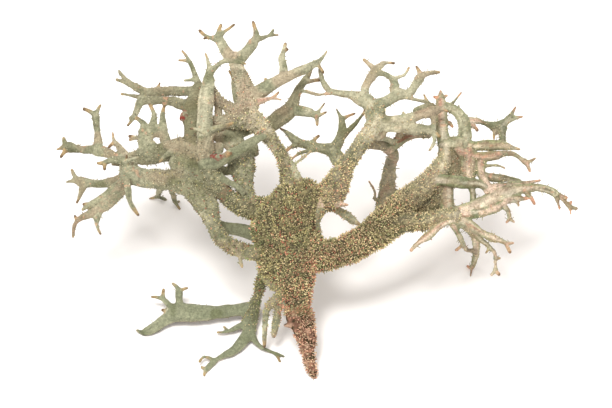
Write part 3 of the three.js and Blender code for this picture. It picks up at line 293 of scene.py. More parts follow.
# Top frond: the middle limb and its forked crown
TOP_FROND = [
    limb("-1.8 32.9 0.2 2.4, -2.65 35.6 0.6 1.95, -3.3 37.8 0.9 1.55, -4.5 40.3 1.1 1.2, "
         "-6.25 42.9 1.1 1.2, -8.3 45.3 1 1.75, -10.1 47.8 0.6 1.6, -10.4 50 0.2 2.05, -11.3 53 -0.4 1.6, "
         "-12.4 55.8 -1 1.3, -12.9 58.1 -1.4 1.5", warty=(0.9, 0.1), pale=1, pink=0.12),
    limb("-9.6 46.2 0.5 1.8, -12 46.6 0 1.9, -14.4 46.2 -0.4 1.3, -16.6 46.5 -0.4 1",
         warty=0.35, pink=0.2, pale=0.8),
    limb("-10.6 47.8 0.3 1.8, -12.8 48.1 0 1.6, -14.4 49.1 -0.1 0.95, -16.3 50.4 -0.3 1.1, "
         "-17.4 53 -0.7 0.7", warty=0.35, pink=0.2, pale=0.8),
    lobe("-13.7 57.6 -1.4 1.2, -15.3 60.3 -1.4 0.98, -15.8 61.3 -1.4 0.9",
         "-15.4 63.9 -1.6, -13 63.9 -1.8"),
    lobe("-15.4 61.1 -1.4 0.8, -17.4 61.5 -1.4 0.48", "-19.3 62.8 -1.6, -18.5 61.3 -1"),
    lobe("-12.3 57.3 -1.6 1.2, -10.5 59.2 -2.2 1.1, -9.3 60.9 -2.8 0.9", "-9.6 64.3 -3.2", dark=0.15),
    lobe("-9.6 60.9 -2.8 0.7, -7.2 61.7 -3.2 0.42", "-5.1 62 -3.6, -5.9 62.9 -3.4", dark=0.35),
    lobe("-12.4 49.6 -1.6 0.75, -12.9 52 -2.4 0.6, -13.1 53.6 -2.8 0.5", "-13.9 55.4 -3", blue=0.6),
    lobe("-9.5 50.9 0 1.7, -6 53 0.6 1.22, -3 54.5 1.2 1.02, 0 55.8 1.6 0.88, 1.9 56.8 1.8 0.72",
         "3.8 59 2.2, 3.2 55 1.8"),
    lobe("-3.95 54.5 1 0.9, -4.1 56.4 0.7 0.75, -4.42 57.6 0.5 0.74, -4.2 58.5 0.4 0.5",
         "-3.7 60.3 0.2, -3.4 59.3 0.4"),
    lobe("-8.6 49.8 0.6 0.7, -6.6 50.3 1 0.45", "-4.5 50.1 1.2, -4.9 51.5 1", pink=0.5),
    lobe("-7.8 44.6 -0.6 1.4, -4.9 46.8 -2.4 1.62, -2.9 48.4 -3.2 1.45, -2.1 50.35 -3.6 1.05, "
         "-1.3 52.2 -3.8 0.88, 0 54 -4 0.75", "1 55.8 -4", dark=(1, 0.6)),
    lobe("-2 48.3 -3.2 1.1, 0.5 47.9 -2.8 0.95, 1.6 47.4 -2.6 0.58",
         "2 45.6 -2.4, 3.4 49.6 -2.6, 3.6 47.9 -2.2"),
    lobe("-0.3 53.4 -3.8 0.6, 1 53.6 -3.8 0.48", "2.5 53.8 -3.6"),
    lobe("-1 51.9 -3.8 0.42, 0.6 51.5 -3.6 0.32", "2.6 51.1 -3.2"),
    lobe("-2.4 38.2 0.6 0.4, -1.4 39 0.8 0.27", "0.9 40.8 0.8"),
    lobe("-3 38.6 0.8 0.7, -1.9 37.4 1.4 0.6", "-0.9 36 1.4"),
]

# Centre frond: its limb and crown
CENTRE_FROND = [
    limb("3.5 31.9 0 2.5, 5.5 34.8 0.3 2.4, 7.05 38 0.8 1.7, 8.8 40.6 1.2 1.45, 10.7 43.2 1.5 1.55, "
         "12.45 45.8 1.6 1.75, 12.4 48.2 1.3 1.95, 12 49.2 0.9 1.5", warty=(0.9, 0.1), pale=1),
    lobe("11.4 49.6 0.8 1.5, 9.8 50.4 0.7 1.3, 8 51.05 0.6 0.82, 6.2 51.3 0.4 0.64, 4.3 51.8 0.2 0.6, "
         "3.25 53.1 0 0.58, 2.75 54.5 -0.2 0.48", "2.5 56.2 -0.3", pale=(0.5, 0.1), dark=(0, 0.3)),
    lobe("5.2 51.3 0.4 0.35, 2.4 51.1 0.2 0.29", "0 51.9 0.2"),
    lobe("10.7 50.6 0.8 0.9, 10.7 52.3 0.6 0.75, 11.6 54.1 0.3 0.86, 12.6 55.3 0 0.92", "10.5 57.4 -0.4"),
    lobe("12.3 55.4 0 0.8, 13.9 56.7 -0.3 0.5", "16 56.8 -0.6"),
    lobe("12.6 55.2 0 0.6, 14.7 54.6 -0.1 0.5, 15.85 53.4 0 0.85, 16 51.6 0.4 0.95"),
    lobe("15.6 53.9 0 0.45, 17.5 54.5 0.2 0.32", "18.6 56 0.3"),
    lobe("12.8 49.1 0.9 1.25, 14.7 49.9 0.9 1.1, 16.5 51 0.8 1.15, 18.5 51.3 0.6 1, 19.5 52.5 0.4 0.8, "
         "20.6 54.1 0.2 0.95", "20 56.2 -0.4, 24.1 55.2 -0.6", pale=(0.6, 0.1), dark=(0, 0.25)),
    lobe("17 50.7 0.6 0.42, 20.4 50.1 0.4 0.36, 22.1 49.6 0.2 0.36", "23.8 49 0, 21.3 51.1 0.4", dark=0.5),
    lobe("12 46.2 1.4 1.5, 15.2 46.2 1.8 1.1, 18 46.6 2.2 1.05, 20.5 47.4 2.6 1, 22.4 47.9 2.8 1.1, "
         "24 48.4 2.8 0.8", "25.6 48 2.8", pink=(0, 0.3), pale=(0.6, 0.1), dark=(0, 0.5)),
    lobe("19.6 47.9 1.6 0.7, 21.2 48.7 1.4 0.75, 23 49.2 1 0.6", dark=0.8),
    lobe("22.8 47.4 2.6 0.7, 23 46.2 2.6 0.55, 22.9 45 2.6 0.6", dark=0.4),
    lobe("12.6 44.6 0.8 0.9, 14.8 45 1.2 0.75, 17 44.9 1.5 0.75", dark=0.2),
    lobe("12.6 43.4 0.4 0.8, 14.2 43.1 -0.6 0.6, 15.8 42.5 -2.4 0.6", dark=0.2),
    lobe("17.4 44.9 1.6 0.8, 19.6 44.7 2 1.1, 21.8 44.6 2.4 1.05, 23 44.2 2.8 0.7",
         "24.2 43.4 2.8", dark=0.4),
    lobe("22.7 45.4 2.8 0.7, 23.15 43.3 3 0.46", "22.3 41 3.2"),
]

# Centre frond: the lobe that stands behind its limb
CENTRE_HIND_LOBE = [
    lobe("7 38 0 1.4, 5.7 39.5 -1.8 1.4, 4.7 41.3 -3.2 1.3"),
    lobe("4.9 40.8 -3 1.2, 6.2 43.2 -3.6 0.92, 6.6 45 -4 0.85, 6.4 46.4 -4.2 0.72",
         "5.5 48.5 -4.6, 8.8 47.7 -4.6"),
    lobe("6.8 43.6 -3.8 0.75, 8.7 45.6 -3 0.46, 9.9 47 -1.6 0.36", "10.8 48.3 0.2"),
    lobe("5 41.1 -3.2 1.35, 2.6 41.5 -3.6 1, 0 42 -4 0.8, -1.9 42.8 -4.6 0.88, -3.1 43.9 -4.8 0.6",
         "-4.7 45 -4.8"),
    lobe("-1.6 42.2 -4.4 0.6, -2.6 41.7 -4.4 0.48", "-3.8 40.6 -4"),
    lobe("2.4 41.2 -3.4 0.5, -0.5 40.7 -3 0.36", "-2.7 39.3 -2.4"),
]

# Centre frond: the broad lobe that bends down behind the right frond to the floor
CENTRE_FLOOR_LOBE = [
    lobe("9.8 42.3 0.8 1, 12.3 42.2 -1.4 1.15, 14.3 41.8 -3 1.15, 15.8 40.3 -5.6 1.15, "
         "15.3 38.4 h13.6 1.15, 15.1 36.4 h9 1.38, 14.8 34.4 h5.4 1.55, 14.3 32.4 h2.5 1.25, "
         "13.9 31.2 h1 1.2, 13.4 30.2 h0.2 0.9"),
    lobe("15 34 h5 0.9, 16.8 33.4 h3.6 0.65, 18.2 32.8 h2 0.5", "19.4 32 h0.02, 19.9 33.4 h1.6"),
    lobe("14.9 41.2 -3.6 1.1, 16.4 42.4 -3 1.05, 18.4 43.5 -2.4 0.8, 20.6 43.8 -1.6 0.66, 22.4 43.7 -1 0.6",
         pink=0.9),
    lobe("16.4 42.6 -3 0.7, 17 44.2 -1 0.7, 17.6 46 1.4 0.7"),
    lobe("12.4 43.2 0.6 0.8, 13.8 44.2 0.6 1", dark=0.4),
    lobe("14.2 31.9 h2 0.6, 12.7 32.2 h2.8 0.38, 12.6 33.2 h4.4 0.29", "11.5 35.4 h7"),
]

# Right frond: its limb and the net of lobes over it
RIGHT_FROND = [
    limb("-1.6 22 0 3, 3 22.1 0.6 2.8, 6 22.7 1.2 2.6, 9 24 1.8 2.8, 12 25.8 2.4 2.9, 15 28.1 2.8 3.1, "
         "17.2 30 2.6 3", warty=1),
    limb("15 28.2 3 2.2, 18.6 28 3.8 1.7, 22 28.2 4.2 1.5, 24.5 28.9 4.4 1.5, 27 29.3 4.2 1.6",
         warty=(0.9, 0.3)),
    limb("16.2 30.3 2.4 2.4, 19.8 33.3 2 2.15, 22.4 35.6 1.4 1.95, 24.2 37.7 0.6 1.75, "
         "25.25 39.9 -0.2 1.5, 25.3 42.4 -0.8 1.5", warty=(0.9, 0), pale=(0, 0.2), dark=0.15, fresh=0.3),
    limb("17.4 30.4 1.2 1.8, 21 31.3 0 2.2, 24 32 -0.4 2.2", warty=0.6, dark=0.5),
    limb("21 34 0.6 1.2, 24.4 34.4 0.4 1.3", warty=0.5, dark=0.3),
    lobe("22 36 1.6 1, 25 35.6 2 1.1, 28.2 35.2 2 1.18, 31 35 1.8 0.8, 32.4 34.4 2 0.75", blue=0.7),
    lobe("25.4 35.4 1 1.2, 25.35 33.5 0.6 1.3, 25.4 31.4 1 1.3, 25.2 29.2 2.6 1.3", rust=0.2),
    lobe("29.4 35.4 1.6 0.7, 30.05 33.6 1.4 0.6, 30.1 32.1 1.6 0.6, 29.9 30.8 2.2 0.7", blue=0.6),
    lobe("31.8 40 1 0.85, 31.6 37 1.4 0.86, 32.6 35.2 1.9 0.72, 33.5 33.4 2.2 0.85", pink=0.7),
    lobe("31.9 36.3 1.2 0.8, 34.5 36 1.2 0.85, 37 35.8 1.2 0.66, 38.6 35.5 1.3 0.5", dark=0.4),
    lobe("31.6 38.1 1.2 0.45, 34 38.3 1.6 0.27", "35.9 37.8 1.8"),
    limb("26.4 41 0 1.2, 26.9 38.6 0.2 1.4, 26.7 36.2 0.8 1.2", warty=0.2, dark=1, marble=1),
    limb("29.4 40.6 0.6 1.6, 29.4 38.3 0.8 1.7, 29.2 35.8 1.2 1.2", warty=0.2, pink=0.6, marble=1),
    lobe("25.3 42 -0.4 1.5, 28 42.2 0 1.4, 30.5 41.8 0.4 1, 33 41.95 0.6 1.05, 35.6 41.9 0.6 1, "
         "37 41.6 0.6 0.72", "38.6 41.2 0.6", pale=0.7),
    lobe("27.4 41 0.6 1, 30.5 40 1.4 0.85, 33 39.95 1.6 1, 34.6 40.2 1.7 0.85, 36 40.45 1.8 0.62, "
         "37.5 40.35 1.8 0.52, 38.7 39.6 1.8 0.52, 39.6 39 1.8 0.68",
         "41.5 39.6 1.8, 40.5 37.2 2", pink=(0.6, 0.2), pale=(0.8, 0.1), marble=(0.6, 0.2), rust=0.25),
]

# Right frond: the lobes that stand up from it
RIGHT_CREST = [
    lobe("28.5 42 0 1.5, 28.8 44.2 -0.4 1.28, 28.5 46.3 -0.8 1.22, 27.5 47.9 -1.2 1.05, "
         "25.9 48.8 -1.4 0.9, 24.4 49 -1.3 0.9", dark=0, pale=0.6),
    lobe("28.5 46.3 -0.8 0.9, 30.4 46.5 -1.6 0.72, 32 46.1 -2.6 0.55, 33.4 45.65 -3.2 0.8",
         dark=0, pale=1, pink=0.5, fresh=0.3),
    lobe("32.6 45.9 -2.9 0.5, 33.6 45.6 -3.3 0.85, 34.9 45.2 -3.6 1.35, 36.1 46.1 -3.8 0.88",
         "38.1 48.9 -4.2, 39.2 47.2 -4", dark=0.1),
    lobe("35.5 45 -3.5 1.15, 35.7 43.8 -2.4 0.7, 35.6 42.2 -0.2 0.7", dark=0.1),
    lobe("25 42 -0.8 1.3, 24.6 44.6 -1 1.15, 24.5 47 -1.2 1.1, 24.4 49.2 -1.3 1, 24.4 50.2 -1.4 0.85",
         "24.4 51.8 -1.5, 25.6 51 -1.4, 23.1 50.8 -1.4", pink=(0, 0.8), dark=(0.2, 0), pale=0.5),
    lobe("26 48.9 -1.4 0.8, 26.6 49.6 -1.6 0.36", "28.1 51.5 -1.8"),
    lobe("25.2 45.8 -0.9 0.5, 26 46 -0.8 0.42", "26.5 45.3 -0.6", rust=0.5),
]

# Right frond: the broad pink-backed lobe and its forked end
RIGHT_ARM = [
    lobe("26 29.4 3.8 1.5, 28.9 30.3 3.2 1.35, 32.3 31.4 2.8 1.6, 35.3 33.1 2.4 1.6, 38 33.9 2.2 1.2, "
         "41 34.25 2 0.8, 43.5 34 1.8 0.8, 45.2 33.15 1.6 0.7",
         pale=(0.6, 0.8), dark=(0.1, 0.2), pink=(0.7, 0.2)),
    lobe("27.6 29.7 3.4 1.2, 30 29.7 3.4 1.15, 33.8 30.3 3.2 0.82, 35.8 31.4 2.8 0.8"),
    lobe("32.4 33.4 2.2 0.6, 33.8 34.2 2.2 0.8, 36.4 34.6 2 0.75, 39 34.8 1.9 0.55"),
    lobe("35.2 31.2 2.8 0.6, 36.4 30.2 3 0.45, 36.7 29 3 0.4", "36.2 28 3, 37.5 28.1 3"),
    lobe("36 32.2 2.5 1, 37.8 32.3 2.4 0.9", "38.4 31 2.4, 40.1 32.3 2.2"),
    lobe("39.6 33.6 2.2 0.6, 40.4 32.8 2.2 0.42", "41.3 31.4 2.2"),
    lobe("36.8 34.9 1.7 0.5, 39.5 35.15 1.6 0.38", "42.4 35.6 1.6"),
    lobe("44.6 33.6 1.7 0.6, 45.7 33.1 1.6 0.4", "47.2 32.5 1.6", dark=0.5),
    lobe("45.2 33.2 1.6 0.6, 45.55 31.9 1.6 0.45", "45.9 30.4 1.6", dark=0.6),
    lobe("45.2 33.2 1.6 0.5, 46.6 32.1 1.4 0.42, 47.5 31.1 1.4 0.44",
         "49 30.5 1.4, 48 29.5 1.6, 48.1 31.8 1.2", dark=0.4),
]

# Right frond: the lobes that hang from it
RIGHT_HANGING_LOBES = [
    lobe("26 28.9 3.8 1.3, 28.4 28.1 2.6 1.25, 30 26.4 0.8 1, 30.7 24.8 h10.4 0.8, 30.85 23 h6.6 0.72, "
         "30.7 21.3 h3 0.62, 30.2 19.8 h0.9 0.5", "29.9 18.2 h0.02, 29.4 20 h0.02"),
    lobe("30.3 22.8 h6.4 0.5, 29.1 23 h7 0.45", "28.6 24.2 h8"),
    lobe("26.2 28.2 3.4 0.9, 27 26.7 2.4 0.6, 27.75 25.3 1.4 0.58, 28.3 24.2 0.6 0.5",
         "27.1 23 -0.6, 28.9 23 -0.4", blue=0.8),
    lobe("26.8 28.8 4.4 1.1, 25 28 4.9 0.7, 23.4 26.9 5 0.7, 22 25.6 5 0.8, 20.8 24.8 4.8 0.6",
         "18.9 23 4.4"),
    lobe("28.6 28.2 2.6 1, 31.8 26.1 2.2 0.75, 34 25.1 2 0.75, 35.6 24.5 1.8 0.55",
         "37.4 24.3 1.6, 36.8 22.6 1.6"),
    lobe("29.4 26.9 1 0.8, 31.5 24.9 0.4 0.6, 33 23.7 0.2 0.5, 34.1 22.4 0 0.42, 34.25 20.8 -0.2 0.36, "
         "34.25 19.6 -0.4 0.42", "33.5 18.5 -0.6, 34.9 18.6 -0.4"),
]

# Lying frond: stations hold heights over the floor
LYING_FROND = [
    lying_lobe("-6.6 20.6 12.6 1, -8 17.8 9.6 1.05, -8.5 15.5 6.6 1.15, -9.1 13.6 4 1.2, "
               "-9.7 11.8 2.2 1.4, -10.2 9.8 1.3 1.5, -10.2 8 0.9 1.3", warty=(1, 0), dark=(0.7, 0)),
    lying_lobe("-9.6 12.4 2 1.7, -12 12.2 1.6 1.5, -15 11.8 1.5 1.5, -18 11.6 1.5 1.75, "
               "-20.5 11.6 1.5 2.1, -22.5 11.7 1.5 2.1, -24.4 11.6 1.4 2.2"),
    lying_lobe("-23.8 11.4 1.3 1.6, -26.2 9.8 0.9 1.25, -27.8 8.7 0.5 1.2, -29.1 8.1 0.35 0.9",
               "-30.6 8.5 0.4"),
    lying_lobe("-24.4 12.6 1.6 0.8, -25.6 13.8 2.2 0.55", "-25.8 15.8 3.2, -27.9 14.5 2.4"),
    lying_lobe("-22.9 12.4 1.7 0.95, -22.9 14.2 2.5 0.72, -22.9 15.5 3.3 0.8",
               "-24.1 16.9 4, -21.5 16.1 4"),
    lying_lobe("-10.1 8.2 1 1, -8.9 6.2 0.7 0.55, -7.4 5.1 0.5 0.45, -6 4.6 0.3 0.4",
               "-4 3.8 0.15, -4.7 2.9 0.1"),
    lying_lobe("-10.2 8.2 1 1.25, -12.6 5.2 0.6 1.05, -15 3.9 0.5 0.7, -16 3.4 0.5 0.5", "-17.9 3.7 0.9"),
    lying_lobe("-17.2 3.6 0.7 0.36, -18.3 3.8 1 0.33", "-19.2 2.9 1"),
    lying_lobe("-15.8 3.5 0.5 0.5, -17.2 2.3 0.3 0.6, -17.9 1.5 0.25 0.52", "-18.3 0.4 0.15, -18.9 2 0.4"),
    lying_lobe("-10.8 9.9 1.2 0.8, -12.8 8.8 0.9 0.55, -14 8.3 0.8 0.38", "-16 8.1 0.7, -14.8 9.1 0.9"),
]

# Small spurs of each frond, which are too fine for the solids
SPURS = {
    "frond_left": [
        lobe("-12 22.8 1.2 0.4, -11.9 21.8 1.4 0.35", "-11.5 20 1.6"),
        lobe("-19.8 53.9 -1.7 0.45, -20.9 53.8 -1.8 0.36", "-22 53.7 -1.9"),
        lobe("-26.8 51.6 -2.4 0.6, -26.8 52.3 -2.4 0.5", "-26.5 53.3 -2.4"),
        lobe("-32.3 38.4 0.6 0.9, -32.4 38.9 2 0.5", "-32.4 40.1 2.6, -30.4 39.7 2.8"),
        lobe("-29.2 42.8 -1 0.7, -30.2 43.2 -1.2 0.5", "-31.9 43.6 -1.6, -31.9 42.9 -1.2"),
    ],
    "frond_top": [
        lobe("-6.4 52.8 0.6 0.5, -6.9 53.2 0.6 0.35", "-7.3 53.9 0.6"),
    ],
    "frond_centre": [
        lobe("17.3 47 2.2 0.5, 17.5 47.3 2.4 0.4", "17.5 47.9 2.6"),
        lobe("0.6 42.2 -3.8 0.5, 1.2 42.7 -3.4 0.4", "2.3 43.6 -3.2"),
    ],
    "frond_right": [
        lobe("33.2 23.6 0.2 0.4, 32.9 23.1 0.2 0.35", "32.5 22.5 0.3"),
        lobe("34 21.6 -0.1 0.35, 34.3 21.5 -0.1 0.3", "35 21.5 0"),
        lobe("27.2 47.8 -1.4 0.6, 27.5 48.3 -1.5 0.4", "27.7 49.2 -1.6"),
        lobe("29.6 45.8 -1.2 0.7, 30.3 45.5 -1.5 0.6", "31 44.7 -1.7", pale=0.6, pink=0.5),
        lobe("34.4 45 -3.4 0.8, 34.2 44.3 -3.3 0.45", "34.1 43.1 -3.2"),
    ],
    "frond_lying": [
        lying_lobe("-24.6 12 1.4 0.5, -25.2 12 1.4 0.38", "-25.9 12.1 1.4"),
    ],
}

# Branches of each node, with their tones
FRONDS = {
    "trunk": TRUNK,
    "holdfast": HOLDFAST,
    "frond_right": [
        *toned(RIGHT_FROND, pink=0.2, yellow=0.5, fresh=0.8, marble=0.5),
        *toned(RIGHT_CREST, dark=0.15, fresh=0.6, marble=0.5),
        *toned(RIGHT_ARM, pink=0.8, pale=0.2, fresh=0.8, marble=0.7),
        *toned(RIGHT_HANGING_LOBES, pink=0.5, pale=0.8, fresh=0.7, marble=0.5),
    ],
    "frond_centre": [
        *toned(CENTRE_FROND, pale=0.6),
        *toned(CENTRE_HIND_LOBE, dark=0.35, fresh=0.3),
        *toned(CENTRE_FLOOR_LOBE, dark=0.4, pink=0.3),
    ],
    "frond_top": toned(TOP_FROND, pale=0.25),
    "frond_left": [
        *toned(LOWER_LEFT_LIMB + UPPER_LEFT_LIMB, dark=0.25),
        *toned(LEFT_PILLARS, dark=0.2, pale=0.2),
        *toned(LEFT_ANTLERS, dark=0.27),
        *toned(LEFT_HIND_LOBES, dark=0.2),
    ],
    "frond_lying": toned(LYING_FROND, blue=1),
}


# Noise

# Size of the grains in millimetres and seed of each noise
NOISES = {
    "waver": (1.7, 3), "lump": (1.5, 5), "fine_lump": (0.55, 6), "wart_lump": (2.1, 7),
    "wart_ripple": (0.9, 8), "broad": (5.5, 11), "middle": (1.6, 12), "fine": (0.42, 13),
    "deep": (2.6, 14), "back": (2.2, 15), "flush": (1.9, 16), "fleck": (0.75, 17), "fleck_area": (4, 18),
    "speckle": (0.25, 19), "streak": (0.8, 20), "bark": (0.8, 21), "bark_gap": (0.8, 22),
    "bark_blush": (1.3, 23), "bark_speckle": (0.35, 24), "warm": (3.1, 25), "fold": (1.0, 26),
    "vein": (0.8, 27), "red_patch": (3.0, 31), "wart_cover": (1.4, 33), "peg_light": (2.4, 34),
    "green_patch": (3.4, 35),
}
PRONG_SEED = 51

# Large numbers that scatter whole numbers over 32 bits
MIXERS = (374761393, 668265263, 2147483647, 974634777)
LAST_MIXER = 1274126177
BITS_32 = 0xFFFFFFFF
BITS_24 = 0xFFFFFF


def hashed(cells, seed):
    """Repeatable values from 0 to 1 for whole-number places."""
    values = (*cells.T.astype(np.int64), seed)
    mixed = sum(value * mixer for value, mixer in zip(values, MIXERS)) & BITS_32
    mixed = ((mixed ^ (mixed >> 13)) * LAST_MIXER) & BITS_32
    return ((mixed ^ (mixed >> 16)) & BITS_24) / BITS_24


def grain(points, name):
    """Smooth noise from 0 to 1."""
    size, seed = NOISES[name]
    place = points / size
    cell = np.floor(place)
    share = place - cell
    share = share * share * (3 - 2 * share)
    total = np.zeros(len(points))
    for corner in np.ndindex(2, 2, 2):
        weight = np.prod(np.where(corner, share, 1 - share), axis=1)
        total += weight * hashed(cell + np.array(corner), seed)
    return total


def ramp(values, low, high):
    """0 below the low value, 1 above the high one and smooth between them."""
    share = np.clip((values - low) / (high - low), 0, 1)
    return share * share * (3 - 2 * share)


def blend(first, second, share):
    """The first colour where the share is 0, the second where it is 1."""
    return first + (second - first) * np.asarray(share)[..., None]


def dots(first, second):
    return np.einsum("ij,ij->i", first, second)


def unit(rows):
    return rows / np.maximum(np.linalg.norm(rows, axis=-1, keepdims=True), 1e-9)


# Tubes

FAR_FROM_TIPS = 9.0
NOISE_SHIFT = 40
PRONG_BEND = 0.4
LEAST_BEND = 0.15
PRONG_TAPER = 0.8
END_RINGS = ((0.5, 0.87), (0.85, 0.53))


def smooth_path(places, step):
    """A curve through rows whose first three numbers are a place."""
    places = np.array(places, float)
    padded = np.vstack([2 * places[0] - places[1], places, 2 * places[-1] - places[-2]])
    rows = []
    for i in range(len(places) - 1):
        before, start, end, after = padded[i:i + 4]
        count = max(2, math.ceil(np.linalg.norm((end - start)[:3]) / step))
        for t in np.arange(count) / count:
            rows.append(0.5 * (
                2 * start + (end - before) * t
                + (2 * before - 5 * start + 4 * end - after) * t ** 2
                + (3 * start - before - 3 * end + after) * t ** 3
            ))
    rows.append(places[-1])
    return np.array(rows)


def tube(centres, half_widths, half_thicknesses, branch, tip_distances):
    """Sections along a path, with their axes and what the colours need."""
    along = unit(np.gradient(centres, axis=0))
    across = unit(np.cross(branch["facing"], along))
    waver = 1 + WAVER * (2 * grain(centres + NOISE_SHIFT, "waver") - 1)
    return SimpleNamespace(
        centres=centres, widths=half_widths * waver, thicknesses=half_thicknesses,
        along=along, across=across, out=np.cross(along, across), tips=tip_distances, branch=branch,
    )


def prong(branch, number, tip, centres, width, thickness):
    """A curved wedge from the end of a lobe to a tip."""
    end = branch["point"](*tip)
    heading = unit(centres[-1] - centres[-2])
    reach = np.linalg.norm(end - centres[-1])
    towards = (end - centres[-1]) / reach
    bend = centres[-1] + heading * reach * PRONG_BEND * max(LEAST_BEND, heading @ towards)
    t = np.linspace(0, 1, max(3, math.ceil(reach / PRONG_STEP)) + 1)
    path = np.outer((1 - t) ** 2, centres[-1]) + np.outer(2 * t * (1 - t), bend) + np.outer(t ** 2, end)
    root = max(LEAST_PRONG, PRONG_SHARE * width)
    end_width = TIP_HALF_WIDTH + TIP_SPREAD * math.sin(7 * number + tip[0] * 3.1)
    wide = root + (end_width - root) * t ** PRONG_TAPER
    flat = np.minimum(wide, thickness + (end_width - thickness) * t)
    unbrowned = MOST_UNBROWNED * hashed(np.rint(end[None] * 10), PRONG_SEED)[0] ** 2
    return tube(path, wide, flat, branch, reach * (1 - t) + unbrowned)


def branch_tubes(branch):
    """The body of a lobe and its prongs."""
    rows = smooth_path(branch["stations"], STEP)
    centres = np.array([branch["point"](*row[:3]) for row in rows])
    widths = np.maximum(rows[:, 3], TIP_HALF_WIDTH)
    thick = np.maximum(LEAST_HALF_THICKNESS, branch["flatness"] * widths + EXTRA_HALF_THICKNESS)
    thick = np.minimum(thick, ROUNDEST * widths)
    body = tube(centres, widths, thick, branch, np.full(len(centres), FAR_FROM_TIPS))
    return [body] + [
        prong(branch, number, tip, centres, widths[-1], thick[-1])
        for number, tip in enumerate(branch["tips"])
    ]


def tube_mesh(part):
    """Vertices and faces of a closed tube with domed ends."""
    angles = np.arange(SIDES) * 2 * math.pi / SIDES
    cosines, sines = np.cos(angles)[:, None], np.sin(angles)[:, None]

    def ring(i, offset=0.0, scale=1.0):
        wide = part.across[i] * part.widths[i] * cosines
        thick = part.out[i] * part.thicknesses[i] * sines
        return part.centres[i] + part.along[i] * offset + (wide + thick) * scale

    start, end = (-min(part.widths[i], part.thicknesses[i]) for i in (0, -1))
    rings = [ring(0, start * reach, scale) for reach, scale in END_RINGS[::-1]]
    rings += [ring(i) for i in range(len(part.centres))]
    rings += [ring(-1, -end * reach, scale) for reach, scale in END_RINGS]
    poles = [part.centres[0] + part.along[0] * start, part.centres[-1] - part.along[-1] * end]
    vertices = np.vstack([*rings, *poles])
    last = len(vertices) - 1
    top = (len(rings) - 1) * SIDES
    faces = []
    for side in range(SIDES):
        following = (side + 1) % SIDES
        for low in range(0, top, SIDES):
            faces.append((low + side, low + following, low + SIDES + following, low + SIDES + side))
        faces.append((last - 1, following, side))
        faces.append((last, top + side, top + following))
    return vertices, faces


def joined_mesh(tubes):
    """One skin round all the tubes, remeshed."""
    vertices, faces, first = [], [], 0
    for part in tubes:
        points, rings = tube_mesh(part)
        vertices.append(points)
        faces += [tuple(first + index for index in face) for face in rings]
        first += len(points)
    rough = bpy.data.meshes.new("rough")
    rough.from_pydata(np.vstack(vertices).tolist(), [], faces)
    holder = bpy.data.objects.new("rough", rough)
    bpy.context.scene.collection.objects.link(holder)
    remesh = holder.modifiers.new("skin", "REMESH")
    remesh.mode = "VOXEL"
    remesh.voxel_size = VOXEL
    skin = bpy.data.meshes.new_from_object(holder.evaluated_get(bpy.context.evaluated_depsgraph_get()))
    bpy.data.objects.remove(holder)
    bpy.data.meshes.remove(rough)
    return skin


def values_of(items, key, width=3, kind=float):
    """Values of the items of a mesh, as rows."""
    flat = np.empty(len(items) * width, dtype=kind)
    items.foreach_get(key, flat)
    return flat.reshape(-1, width)


def set_positions(mesh, points):
    mesh.vertices.foreach_set("co", np.ascontiguousarray(points, dtype=np.float32).ravel())
    mesh.update()


def relaxed(mesh, points, rounds, share):
    """Points moved towards the mean of their neighbours."""
    one, other = values_of(mesh.edges, "vertices", 2, np.int64).T
    total = len(points)
    counts = np.bincount(one, minlength=total) + np.bincount(other, minlength=total)
    counts = np.maximum(counts, 1)[:, None]
    for _ in range(rounds):
        sums = np.stack([
            np.bincount(one, column[other], total) + np.bincount(other, column[one], total)
            for column in points.T
        ], axis=1)
        points = points + share * (sums / counts - points)
    return points


# What lies under each point of a skin

# The dark tone is painted shade, in a brown-green, on lobes that lie in hollows and behind others.
TONES = ("warty", "pink", "dark", "blue", "yellow", "rust", "pale", "fresh", "marble")
NEAREST = 5


def section_table(tubes):
    """All sections of a frond as one table."""
    keys = ("centres", "widths", "thicknesses", "across", "out", "tips")
    table = {key: np.concatenate([getattr(part, key) for part in tubes]) for key in keys}
    for name in TONES:
        table[name] = np.concatenate([
            np.linspace(*np.broadcast_to(part.branch["tones"].get(name, 0.0), 2), len(part.centres))
            for part in tubes
        ])
    return table


def nearest_sections(points, table):
    """Index of the section that each point of a skin belongs to."""
    tree = KDTree(len(table["centres"]))
    for index, centre in enumerate(table["centres"]):
        tree.insert(centre, index)
    tree.balance()

    def gap(found):
        return found[2] - table["widths"][found[1]]

    return np.array([min(tree.find_n(point, NEAREST), key=gap)[1] for point in points])


def looks_at(points, normals, table):
    """Place and tones of each point."""
    near = nearest_sections(points, table)
    offset = points - table["centres"][near]
    across, out = table["across"][near], table["out"][near]
    look = {key: table[key][near] for key in ("widths", "thicknesses", "tips", *TONES)}
    return SimpleNamespace(
        **look,
        sideways=dots(offset, across) / look["widths"],
        outwards=dots(offset, out) / look["thicknesses"],
        facing=dots(normals, out),
        edge=np.abs(dots(normals, across)),
        u=points[:, 0] + FOOTPRINT_CENTRE[0],
        v=(points[:, 1] + FOOTPRINT_CENTRE[1]) * SIN_LEAN + points[:, 2] * COS_LEAN,
    )


# Skin

RELAX_ROUNDS = 3
RELAX_SHARE = 0.5
CHANNEL = 0.3
LUMP = 0.11
FINE_LUMP = 0.05
WARTY_LUMP = 0.34
LUMP_SHARE = 0.16


